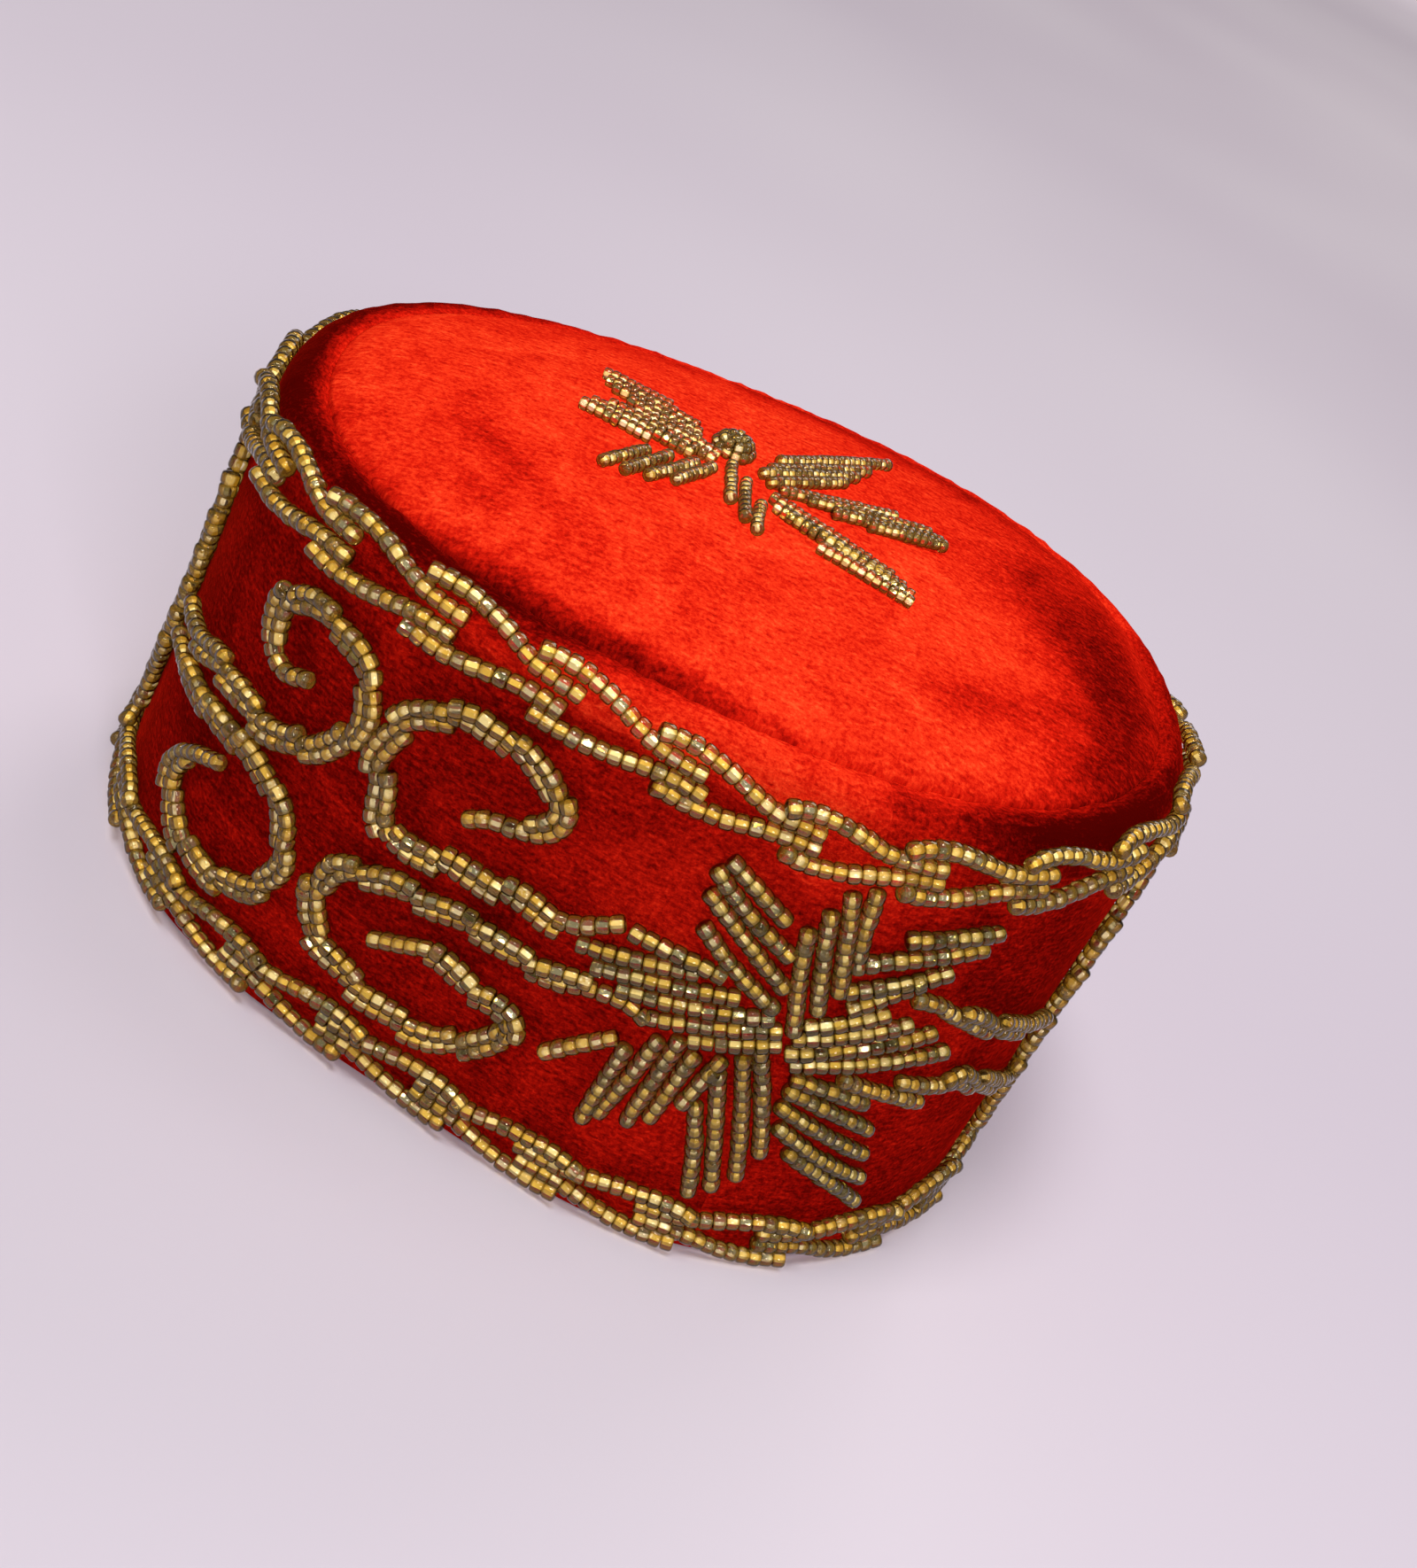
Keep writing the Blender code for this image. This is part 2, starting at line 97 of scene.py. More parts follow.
# Routes of the bead chains
ROUTES = {
    "scroll_1": [
        (-63, 66), (-79, 60), (-93, 60), (-108, 59), (-122, 58), (-134, 56), (-143, 58), (-148, 65),
        (-152, 70), (-150, 77), (-145, 83), (-136, 87), (-126, 89), (-115, 89), (-105, 87), (-97, 84),
        (-94, 79), (-98, 75), (-105, 73), (-113, 72), (-120, 69),
    ],
    "scroll_2": [
        (-44, 48), (-54, 50), (-77, 48), (-91, 48), (-105, 49), (-119, 48), (-133, 47), (-143, 45),
        (-152, 42), (-156, 37), (-156, 31), (-153, 26), (-147, 23), (-138, 21), (-131, 19), (-119, 18),
        (-106, 18), (-97, 20), (-89, 24), (-82, 28), (-82, 33), (-89, 35), (-98, 35), (-106, 37),
        (-114, 38), (-124, 35), (-134, 32),
    ],
    "scroll_3": [
        (-262, 56), (-250, 56), (-237, 57), (-219, 59), (-192, 58), (-178, 61), (-167, 66), (-161, 73),
        (-161, 80), (-168, 86), (-180, 88), (-192, 88), (-201, 85), (-204, 80), (-203, 74), (-194, 71),
        (-183, 74),
    ],
    "scroll_4": [
        (-262, 48), (-239, 48), (-218, 49), (-201, 50), (-189, 49), (-179, 46), (-173, 40), (-171, 33),
        (-176, 25), (-187, 20), (-199, 18), (-213, 19), (-223, 23), (-228, 29), (-225, 35), (-216, 39),
        (-206, 42),
    ],
    "left_vine": [
        (-279, 91), (-275, 81), (-273, 70), (-273, 60), (-275, 50), (-278, 40), (-281, 29), (-284, 17),
    ],
    "right_vine": [(137, 92), (133, 82), (129, 68), (124.5, 56), (122.5, 44), (123, 32), (126, 17)],
    "stem_1": [(34, 70), (44, 69), (54, 66), (67, 64), (80, 61), (93, 59), (105, 57), (117, 55)],
    "stem_2": [(44, 49), (52, 48), (63, 47), (73, 48), (84, 45), (96, 42), (108, 39), (120, 36)],
}

# How wide two of the chains are beside the others
CHAIN_WIDTHS = {"left_vine": 1.35, "right_vine": 0.9}

# Small leaves beside the flower, each a single string
SMALL_LEAVES = {
    "small_leaf_left": [(-69, 30), (-60, 36), (-50, 42)],
    "small_leaf_right": [(22, 49), (40, 46), (58, 43)],
}

# Leaves of the flower: start and end of each string
LEAVES = {
    "leaf_up_left": [(-43, 88, -18, 80), (-46, 85, -12, 73), (-45, 80, -9, 66), (-42, 73, -9, 61)],
    "leaf_up": [(-11, 80, 0, 57), (-7, 85, 4, 63), (-3, 90, 8, 68), (4, 92, 10, 74)],
    "leaf_right_high": [(21, 83, 55, 87), (11, 76, 52, 83), (9, 69, 43, 77), (13, 65, 35, 74)],
    "leaf_right_low": [(2, 59, 28, 66), (0, 56, 38, 64), (0, 52, 49, 62), (3, 50, 58, 57)],
    "leaf_low_right": [(6, 47, 36, 43), (6, 44, 43, 36), (6, 40, 46, 29), (9, 35, 50, 22), (16, 29, 53, 15)],
    "leaf_down": [(-8, 52, 8, 27), (-12, 49, 4, 20), (-17, 44, -2, 16), (-19, 35, -8, 13)],
    "leaf_down_left": [
        (-46, 41, -49, 20), (-38, 46, -45, 23), (-32, 48, -36, 24), (-26, 46, -30, 27), (-17, 47, -23, 33),
    ],
    "leaf_left": [
        (-61, 65, -28, 64), (-74, 57, -36, 63), (-67, 54, -21, 61), (-57, 52, -8, 59), (-45, 49, -4, 57),
        (-30, 48, -2, 54),
    ],
}

# Leaves of the sprig on the top, in hundredths of the top's half length and half width
SPRIG = {
    "sprig_left_high": [(-47, 34, -30, 27), (-46, 29, -23, 20), (-44, 25, -22, 16), (-40, 20, -22, 12)],
    "sprig_left_mid": [(-50, 6, -33, 0), (-48, 9, -23, 1), (-44, 12, -18, 3), (-38, 14, -17, 7)],
    "sprig_left_low": [(-42, -25, -33, -8), (-37, -25, -28, -6), (-32, -23, -22, -4), (-26, -19, -18, -2)],
    "sprig_stem": [(-14, 5, -13, -17), (-10, -2, -9, -24), (-6, -12, -6, -28)],
    "sprig_right_far": [(-3, 20, 26, 58), (-5, 12, 20, 43), (-7, 7, 17, 34), (-5, 3, 14, 26)],
    "sprig_right_mid": [(-2, 1, 27, 18), (5, 3, 36, 18), (11, 2, 39, 16), (20, 4, 40, 14)],
    "sprig_right_near": [(-4, -5, 26, -21), (-3, -10, 29, -24), (0, -12, 31, -27), (8, -22, 31, -30)],
}
KNOB_PLACE = (-14, 17)

# How much lower the upper rope runs along the back: bearing in degrees, and metres
ROPE_DROPS = [
    (0, 0.0020), (12, 0.0052), (40, 0.0046), (90, 0.0048), (126, 0.0052), (150, 0.0039), (175, 0.0014),
    (200, 0.0), (344, 0.0), (360, 0.0020),
]

# One strand of a rope: share of its length, and share of the widest offset from the rope's middle
ROPE_STRAND = [(0.0, 0.80), (0.10, 0.95), (0.24, 1.0), (0.42, 0.86), (0.58, 0.60), (0.74, 0.38), (1.0, 0.33)]

# Where the velvet is painted lighter or darker: place, how far it reaches, and how much lighter or darker it
# lies.
# These patches are painted light and shade, the lit top, the shaded sides and dark folds by the seam, mixed
# with patches where the nap was brushed. On the band the place is thousandths round and hundredths of height.
# On the top and the shoulder it is degrees and the share of the way out, where the seam is at 1 and the rope
# at about 1.1.
# The shoulder's own patches stop at the seam.
BAND_NAP_AND_LIGHT = [
    (-262, 50, 60, 90, -0.16), (-150, 50, 50, 40, -0.05), (10, 30, 50, 30, 0.06), (-45, 70, 30, 25, 0.13),
    (0, 93, 34, 9, 0.26), (45, 15, 30, 15, -0.06), (105, 60, 40, 50, -0.09),
]
CROWN_NAP_AND_LIGHT = [
    (213, 1.07, 26, 0.065, -0.52), (236, 1.01, 16, 0.06, -0.42), (254, 0.985, 12, 0.035, -0.30),
    (270, 0.99, 12, 0.025, -0.18), (184, 1.08, 14, 0.05, -0.62), (160, 1.07, 20, 0.04, -0.64),
    (135, 1.07, 16, 0.04, -0.30), (322, 1.07, 26, 0.06, -0.86), (333, 0.95, 14, 0.07, -0.34),
    (352, 0.86, 20, 0.14, -0.46), (318, 0.72, 12, 0.09, -0.22), (8, 0.70, 18, 0.14, -0.32),
    (70, 0.90, 55, 0.12, -0.42), (0, 1.06, 24, 0.05, -0.34), (200, 0.70, 16, 0.05, -0.14),
    (40, 0.55, 30, 0.20, -0.08), (215, 0.80, 25, 0.15, -0.10),
]
SHOULDER_NAP_AND_LIGHT = [(178, 1.03, 40, 0.06, -0.18), (226, 1.03, 22, 0.04, -0.20)]

# How dark the velvet is drawn inside the cap, and the velvet's colours from dark to light, which show the nap
# and the painted light and shade alike
INSIDE_LEVEL = 0.2
VELVET = [
    (0.0, "#480201"), (0.2, "#700603"), (0.4, "#A40F06"), (0.6, "#D21C0C"), (0.8, "#F23618"),
    (1.0, "#FF5428"),
]

# Sizes of the patterns' marks in millimetres, and how much each changes the velvet's nap. A streak's
# size is its length. Real pile is too fine to show in the render, so its marks are drawn this coarse.
PATCHES = (19.231, 0.56)
STREAKS = (3.0303, 0.72)
PILE = (0.95238, 0.78)
LINING_WEAR_SIZE = 0.66667
FLOOR_CLOUD_SIZE = 500.0

# Outline of a bead from end to end: share of half its length, and share of its radius
BEAD_OUTLINE = [
    (-0.97, 0.62), (-0.88, 0.88), (-0.60, 0.98), (0.0, 1.0), (0.60, 0.98), (0.88, 0.88), (0.97, 0.62),
]
BEAD_SIDES = 12

# Outline of a lined hole: share of its length, and share of its radius; then its sides and its length
CORE_OUTLINE = [(-0.5, 0.7), (-0.42, 1.0), (0.42, 1.0), (0.5, 0.7)]
CORE_SIDES = 4
CORE_LENGTH_SHARE = 0.92

# How beads lie and differ: height over the velvet, shift to the side and size as shares of the radius,
# tilt in radians, any turn about the string, and how tints spread among beads and among strings
SETTLE_SHARE = 0.95
SIDE_SPREAD = 0.05
SIZE_SPREAD = 0.07
TILT = 0.10
FULL_TURN = 6.28
TINT_CURVE = (1.6, 1.5)
TONE_SPREAD = 0.12

# How a rope's strands differ, how far a string's first bead stands on others, and how that fades
STRAND_LAG = 0.0024
START_SPREAD = 0.0008
LENGTH_SPREAD = 0.001
WIDTH_SPREAD = 0.05
ROPE_RISE = 0.0016
CHAIN_RISE = 0.0008
RISE_POWER = 4

# Steps along strings, and how far a leaf's strings bow in its own units
CHAIN_STEPS = 12
LEAF_STEPS = 8
LEAF_BOW = 0.6
STRAND_SAMPLES = 6
ROUTE_SAMPLES = 8

# Where round the band the first unit of each rope starts, in thousandths
UPPER_ROPE_START = 5.5
LOWER_ROPE_START = 37.0

# What is stored with each bead's point, in the order of a bead's values
BEAD_ATTRIBUTES = [
    ("ahead", "FLOAT_VECTOR", "vector"), ("out", "FLOAT_VECTOR", "vector"), ("stretch", "FLOAT", "value"),
    ("tint", "FLOAT", "value"),
]

# Rings of beads in the sprig's knob: distance from its middle, height and number of beads,
# then how far each ring is turned against the last, and how steeply its beads lean
KNOB_RINGS = [(0.0036, 0.0011, 13), (0.0026, 0.0025, 9), (0.0013, 0.0034, 4)]
KNOB_RING_TURN = 0.7
KNOB_TILT = 0.9

# Each kind of piece takes its seeds this far from the next kind's
SEED_STEP = 100

# Rows of the band's cloth, and of the rolled edge at its hem
HEM_ROWS = (0.0, 0.0006, 0.0016, 0.003)
BAND_ROWS = 44
SHOULDER_ROWS = 20
INSIDE_ROWS = [0.002, 0.02, 0.05, 0.08, BAND_HEIGHT]
INSIDE_SHOULDER_ROWS = 5
HEM_ROLL = 0.0007
HEM_ROLL_REACH = 0.0016
LEAST_LIFT = 0.0001
EDGE_SLACK = 0.2
SHOULDER_PUCKER = 0.0006
SHOULDER_FOLDS = 26
SHOULDER_FOLD_RUN = 1.5
SHOULDER_TUCK = 0.0006

# Rings of the top's cloth, and how its edge is puckered and tucked into the seam
CROWN_RINGS = 48
RING_CROWDING = 1.35
WIDEST_RING = 1.002
TUCKED_RING = 1.004
CROWN_INSIDE = (1.0, 0.95, 0.8, 0.6, 0.4, 0.2)
SEAM_PUCKER = 0.0007
SEAM_FOLDS = 30
SEAM_FOLD_LEVEL = 4.0
PUCKER_REACH = 0.06
PUCKER_RISE = 40
SEAM_TUCK = 0.0014

# Noise of the top's soft dents: scale per metre, its level, and how fast it grows from the edge
TOP_DENT_WAVES = 30
TOP_DENT_LEVEL = 0.3
TOP_DENT_RISE = 8

# Noise of the band's soft dents: scale round the band, scale per metre of height, and the finer one's share
DENT_WAVES = (3.1, 34)
FINE_DENT_WAVES = (9.0, 90)
FINE_DENT_SHARE = 0.35

# Height over which the top's level of nap and painted light takes over from the band's, at the upper rope
NAP_AND_LIGHT_BLEND = 0.003

# The stage: the floor's half width, and each light's place, width, colour and target
FLOOR_REACH = 6.0
CAP_MIDDLE = (0.0, 0.0, 0.05)
LIGHTS = {
    "key": ((0.45, 0.35, 2.5), 0.6, "#FFF8F2", CAP_MIDDLE),
    "fill": ((0.35, -1.2, 0.9), 0.42, "#F8F6FF", CAP_MIDDLE),
    "glint": ((-0.25, -0.15, 1.5), 0.45, "#FFFCF6", CAP_MIDDLE),
    "wash": ((0.9, 1.8, 1.7), 1.2, "#FFF8F2", CAP_MIDDLE),
    "far_wash": ((1.5, 4.0, 1.5), 1.0, "#FFF8F2", (1.5, 4.0, 0.0)),
}

# The camera: where it stands and looks, its roll, and its lens on a 36 mm sensor
CAMERA_PLACE = (-0.0551, -0.3287, 0.2668)
CAMERA_TARGET = (0.0100, -0.0179, 0.0571)
CAMERA_ROLL = 28.73
CAMERA_LENS = 42.19
CAMERA_SENSOR = 36.0
CAMERA_NEAREST = 0.01


# Form of the cap


def oval_radius(bearing, half_length, half_width):
    """Distance from the middle to a rounded oval, in the direction of the bearing in radians."""
    along = abs(math.cos(bearing) / half_length) ** OVAL_POWER
    across = abs(math.sin(bearing) / half_width) ** OVAL_POWER
    return (along + across) ** (-1 / OVAL_POWER)


def plan_point(bearing, climb_share, inset):
    """A point of the cap's plan, at a share of the band's height, moved in by the inset."""
    reach = RIGHT_REACH if math.cos(bearing) > 0 else 0.0
    half_length = HEM_HALF_LENGTH + reach - BAND_LEAN * climb_share - inset
    half_width = HEM_HALF_WIDTH - BAND_LEAN * climb_share - inset
    swell = HEM_SWELL + (TOP_SWELL - HEM_SWELL) * climb_share
    calm = 1 - BACK_CALM * max(0.0, math.sin(bearing)) ** 2
    lobe = math.cos(SWELL_LOBES * (bearing - math.radians(SWELL_BEARING)))
    radius = oval_radius(bearing, half_length, half_width) + swell * calm * lobe
    shift = HEM_SHIFT * (1 - climb_share)
    return radius * math.cos(bearing) + shift, radius * math.sin(bearing)


def in_frame(x, y, z):
    return Vector((x + FRAME_PLACE[0], y + FRAME_PLACE[1], z + FRAME_PLACE[2]))


def sink(bearing):
    """How much lower the shoulder stands at a bearing in radians than at the front."""
    return SINK * max(0.0, math.cos(bearing - math.radians(SINK_BEARING))) ** 2


def skin_point(bearing, climb, lift):
    """A point that stands off the outer velvet by the lift, at a climb up the band and over the shoulder."""
    if climb <= BAND_HEIGHT:
        x, y = plan_point(bearing, climb / BAND_HEIGHT, -lift)
        return in_frame(x, y, climb)
    turn = 2 * (climb - BAND_HEIGHT) / (SHOULDER_RISE + SHOULDER_DEPTH)
    inset = (SHOULDER_DEPTH + lift) * (1 - math.cos(turn)) - lift
    x, y = plan_point(bearing, 1.0, inset)
    return in_frame(x, y, BAND_HEIGHT + (SHOULDER_RISE - sink(bearing) + lift) * math.sin(turn))


def girth_table():
    """Bearings round the band at half its height, and the length walked to each of them."""
    first = math.radians(FLOWER_BEARING)
    bearings = [first + 2 * math.pi * i / GIRTH_SAMPLES for i in range(GIRTH_SAMPLES + 1)]
    points = [plan_point(bearing, 0.5, 0.0) for bearing in bearings]
    walked = [0.0]
    for start, end in zip(points, points[1:]):
        walked.append(walked[-1] + math.dist(start, end))
    return bearings, walked


BEARINGS, WALKED = girth_table()
GIRTH = WALKED[-1]


def bearing_at(along):
    """The bearing that lies so many thousandths of the way round from the flower's middle."""
    target = (along % WHOLE_ROUND) / WHOLE_ROUND * GIRTH
    index = min(bisect.bisect_right(WALKED, target), GIRTH_SAMPLES) - 1
    step = (target - WALKED[index]) / (WALKED[index + 1] - WALKED[index])
    return BEARINGS[index] + step * (BEARINGS[index + 1] - BEARINGS[index])


def band_point(along, height, lift):
    return skin_point(bearing_at(along), height / 100 * BAND_HEIGHT, lift)


def pattern_height(side, height):
    """Height of a point of the pattern, pressed down a little at the back, where the rope runs lower."""
    if side == "back" and height > PRESS_FROM_PERCENT:
        return height - PRESS_SHARE * (height - PRESS_FROM_PERCENT)
    return height


def seam_inset():
    return SHOULDER_DEPTH * (1 - math.cos(math.radians(SHOULDER_TURN)))


def top_height(bearing, share):
    """Height of the domed top at a share of the way from its middle to the seam."""
    rise = SHOULDER_RISE - sink(bearing) * share**2
    seam_height = BAND_HEIGHT + rise * math.sin(math.radians(SHOULDER_TURN))
    puff = CROWN_PUFF * (1 - math.exp((min(share, 1.0) - 1) * 100 / PUFF_REACH_PERCENT))
    return seam_height + DOME_RISE * (1 - share**DOME_POWER) + puff


def top_point(bearing, share, lift):
    x, y = plan_point(bearing, 1.0, seam_inset() + SEAM_GAP)
    return in_frame(x * share, y * share, top_height(bearing, share) + lift)


def sprig_point(along, across, lift):
    """A point over the domed top, at hundredths of its half length and half width."""
    inset = BAND_LEAN + seam_inset()
    x = along / 100 * (HEM_HALF_LENGTH - inset)
    y = across / 100 * (HEM_HALF_WIDTH - inset)
    bearing = math.atan2(y, x)
    edge = math.hypot(*plan_point(bearing, 1.0, seam_inset() + SEAM_GAP))
    return in_frame(x, y, top_height(bearing, math.hypot(x, y) / edge) + lift)


def rope_drop(turn):
    """How much lower the upper rope runs at a bearing in degrees."""
    for (start, low), (end, high) in zip(ROPE_DROPS, ROPE_DROPS[1:]):
        if turn <= end:
            share = (1 - math.cos(math.pi * (turn - start) / (end - start))) / 2
            return low + (high - low) * share
    return 0.0


def upper_rope_height(bearing):
    """The middle of the upper rope: it wanders up and down in front, and runs lower along the back."""
    back = max(0.0, math.sin(bearing))
    wander = ROPE_WANDER * math.cos(SWELL_LOBES * (bearing - math.radians(ROPE_WANDER_BEARING)))
    return BAND_HEIGHT + wander * (1 - BACK_CALM * back**2) - rope_drop(math.degrees(bearing) % 360)


def lower_rope_height(bearing):
    """The middle of the rope along the hem, which runs lowest under the right of the front flower."""
    return LOWER_ROPE_HEIGHT + HEM_ROPE_WANDER * math.cos(bearing - math.radians(HEM_ROPE_BEARING))


# Small helpers


def srgb(text):
    """A linear colour from an sRGB hex string."""
    parts = [int(text[i : i + 2], 16) / 255 for i in (1, 3, 5)]
    return tuple(p / 12.92 if p <= 0.04045 else ((p + 0.055) / 1.055) ** 2.4 for p in parts) + (1.0,)


def add_node(tree, kind, links=None, **settings):
    """Adds a node; links maps an input's name or number to a socket or a plain value."""
    node = tree.nodes.new(kind)
    for key, value in settings.items():
        setattr(node, key, value)
    for key, value in (links or {}).items():
        if isinstance(value, bpy.types.NodeSocket):
            tree.links.new(value, node.inputs[key])
        else:
            node.inputs[key].default_value = value
    return node


def colour_ramp(tree, factor, stops):
    """A colour ramp from (position, hex colour) pairs."""
    ramp = add_node(tree, "ShaderNodeValToRGB", {0: factor})
    while len(ramp.color_ramp.elements) > 1:
        ramp.color_ramp.elements.remove(ramp.color_ramp.elements[0])
    ramp.color_ramp.elements[0].position = stops[0][0]
    ramp.color_ramp.elements[0].color = srgb(stops[0][1])
    for position, colour in stops[1:]:
        ramp.color_ramp.elements.new(position).color = srgb(colour)
    return ramp.outputs["Color"]


def per_metre(size):
    """Scale of a noise whose marks are so many millimetres in size."""
    return 1000 / size


def principled(name, **values):
    """A new material with a Principled shader, and its node tree."""
    material = bpy.data.materials.new(name)
    material.use_nodes = True
    tree = material.node_tree
    shader = tree.nodes["Principled BSDF"]
    for key, value in values.items():
        shader.inputs[key.replace("_", " ")].default_value = value
    return material, tree, shader


def mesh_object(name, mesh, materials):
    for material in materials:
        mesh.materials.append(material)
    piece = bpy.data.objects.new(name, mesh)
    bpy.context.scene.collection.objects.link(piece)
    return piece


# Materials


def velvet_material(name, stops, streak_length):
    """Woven velvet with a short red pile.

    A stored level paints light and shade into the colour along with the brushed nap's light and dark patches,
    fine streaks follow the brushing, and edges glow softly.
    """
    material, tree, shader = principled(name, Roughness=0.9, Sheen_Weight=0.35, Sheen_Roughness=0.3)
    shader.inputs["Sheen Tint"].default_value = srgb("#FF2A12")
    shader.inputs["Specular IOR Level"].default_value = 0.0
    place = add_node(tree, "ShaderNodeUVMap", uv_map="cloth").outputs["UV"]
    # The stored level paints light and shade into the colour, as well as the nap's brushing
    nap = add_node(tree, "ShaderNodeAttribute", attribute_name="nap").outputs["Fac"]
    stretched = add_node(tree, "ShaderNodeMapping", {"Vector": place, "Scale": (1.0, streak_length, 1.0)})
    along = stretched.outputs["Vector"]
    level = nap
    for (size, amount), vector, detail, roughness, distortion in (
        (PATCHES, place, 4.0, 0.6, 1.2),
        (STREAKS, along, 3.0, 0.7, 0.5),
        (PILE, place, 2.0, 0.7, 0.0),
    ):
        look = {"Scale": per_metre(size), "Detail": detail, "Roughness": roughness, "Distortion": distortion}
        texture = add_node(tree, "ShaderNodeTexNoise", {"Vector": vector, **look}).outputs["Fac"]
        centred = add_node(tree, "ShaderNodeMath", {0: texture, 1: 0.5}, operation="SUBTRACT").outputs[0]
        mixed = {0: centred, 1: amount, 2: level}
        level = add_node(tree, "ShaderNodeMath", mixed, operation="MULTIPLY_ADD").outputs[0]
    tree.links.new(colour_ramp(tree, level, stops), shader.inputs["Base Color"])
    bump = add_node(tree, "ShaderNodeBump", {"Strength": 0.5, "Distance": 0.0005, "Height": level})
    tree.links.new(bump.outputs["Normal"], shader.inputs["Normal"])
    return material


def glass_material(name, colour, rim):
    """Pressed glass of the beads: clear in the middle and cloudy at the sides, coloured by how squarely a
    face is seen. The sides are the glass's honey tint mixed with painted shade, and the line near the edge is
    painted shade, the velvet's shade seen through the glass.
    """
    material, tree, shader = principled(name, Roughness=0.04, IOR=1.47)
    facing = add_node(tree, "ShaderNodeLayerWeight", {"Blend": 0.5}).outputs["Facing"]
    shader.inputs["Specular Tint"].default_value = srgb("#FFF6E0")
    # Painted shade: the rim colour darkens the sides, and this near-black line stands for shade seen through
    # the glass
    dark = "#161004"
    stops = [(0.0, colour), (0.09, colour), (0.20, rim), (0.42, rim), (0.56, dark), (0.76, dark), (0.94, rim)]
    tree.links.new(colour_ramp(tree, facing, stops), shader.inputs["Base Color"])
    clear = [(0.0, "#FFFFFF"), (0.09, "#FFFFFF"), (0.22, "#DFDFDF"), (1.0, "#DFDFDF")]
    tree.links.new(colour_ramp(tree, facing, clear), shader.inputs["Transmission Weight"])
    return material


def lining_material(name, stops, foil_until):
    """Lining of the beads' holes: bright silver or olive foil in some beads, yellow dye in the others."""
    material, tree, shader = principled(name, Roughness=0.12)
    tint = add_node(tree, "ShaderNodeAttribute", attribute_name="tint").outputs["Fac"]
    place = add_node(tree, "ShaderNodeTexCoord").outputs["Object"]
    look = {"Vector": place, "Scale": per_metre(LINING_WEAR_SIZE), "Detail": 2.0}
    wear = add_node(tree, "ShaderNodeTexNoise", look).outputs["Fac"]
    factor = add_node(tree, "ShaderNodeMix", {0: 0.15, 2: tint, 3: wear}, data_type="FLOAT").outputs[0]
    tree.links.new(colour_ramp(tree, factor, stops), shader.inputs["Base Color"])
    foil = add_node(tree, "ShaderNodeMath", {0: tint, 1: foil_until}, operation="LESS_THAN").outputs[0]
    partly = add_node(tree, "ShaderNodeMath", {0: foil, 1: 0.9}, operation="MULTIPLY").outputs[0]
    tree.links.new(partly, shader.inputs["Metallic"])
    return material


def floor_material():
    """Matt paint, pale lilac, with wide soft clouds so that the floor does not look flat."""
    material, tree, shader = principled("pale_floor", Roughness=0.8)
    place = add_node(tree, "ShaderNodeTexCoord").outputs["Object"]
    look = {"Vector": place, "Scale": per_metre(FLOOR_CLOUD_SIZE), "Detail": 1.0}
    cloud = add_node(tree, "ShaderNodeTexNoise", look).outputs["Fac"]
    stops = [(0.3, "#CDC3D2"), (0.7, "#D8D0DC")]
    tree.links.new(colour_ramp(tree, cloud, stops), shader.inputs["Base Color"])
    return material


# Bead strings


def smooth_line(points, steps):
    """Places on a smooth curve through the points, with so many steps between neighbours."""
    ends = [points[0]] + list(points) + [points[-1]]
    places = []
    for before, start, end, after in zip(ends, ends[1:], ends[2:], ends[3:]):
        for i in range(steps):
            t = i / steps
            place = []
            for a, b, c, d in zip(before, start, end, after):
                curve = 2 * b + (c - a) * t
                curve += (2 * a - 5 * b + 4 * c - d) * t**2
                curve += (3 * b - a - 3 * c + d) * t**3
                place.append(curve / 2)
            places.append(tuple(place))
    places.append(tuple(points[-1]))
    return places


def walk(line):
    """Length walked to each point of a line of vectors."""
    walked = [0.0]
    for start, end in zip(line, line[1:]):
        walked.append(walked[-1] + (end - start).length)
    return walked


def on_line(line, walked, distance):
    """The point of a line at a distance walked along it."""
    distance = min(max(distance, 0.0), walked[-1])
    index = min(max(bisect.bisect_right(walked, distance) - 1, 0), len(line) - 2)
    span = walked[index + 1] - walked[index]
    share = (distance - walked[index]) / span if span > 0 else 0.0
    return line[index].lerp(line[index + 1], share)


class Strings:
    """Collects the beads of one piece: where each stands, which way it points, and its size and tint."""

    def __init__(self, radius, pitch, seed):
        self.radius = radius
        self.pitch = pitch
        self.chance = random.Random(seed)
        self.beads = []

    def lay(self, places, surface, rise=0.0):
        """Threads beads along places on a surface, which turns two numbers and a lift into a point.

        The rise is how far the string's first bead stands on top of other beads.
        """
        lifts = []
        for i in range(len(places)):
            share = i / (len(places) - 1)
            lifts.append(self.radius * SETTLE_SHARE + rise * (1 - share) ** RISE_POWER)
        line = [surface(a, b, lift) for (a, b), lift in zip(places, lifts)]
        above = [surface(a, b, lift + self.radius) for (a, b), lift in zip(places, lifts)]
        walked = walk(line)
        count = max(1, round(walked[-1] / self.pitch))
        step = walked[-1] / count
        tone = self.chance.uniform(-TONE_SPREAD, TONE_SPREAD)
        for i in range(count):
            distance = (i + 0.5) * step
            middle = on_line(line, walked, distance)
            ahead = on_line(line, walked, distance + step / 2) - on_line(line, walked, distance - step / 2)
            out = on_line(above, walked, distance) - middle
            self.add(middle, ahead.normalized(), out.normalized(), step / self.pitch, tone)

    def add(self, middle, ahead, out, stretch, tone):
        side = ahead.cross(out)
        middle = middle + side * self.chance.uniform(-SIDE_SPREAD, SIDE_SPREAD) * self.radius
        tint = min(max(self.chance.betavariate(*TINT_CURVE) + tone, 0.0), 1.0)
        self.beads.append((middle, ahead, out, stretch, tint))


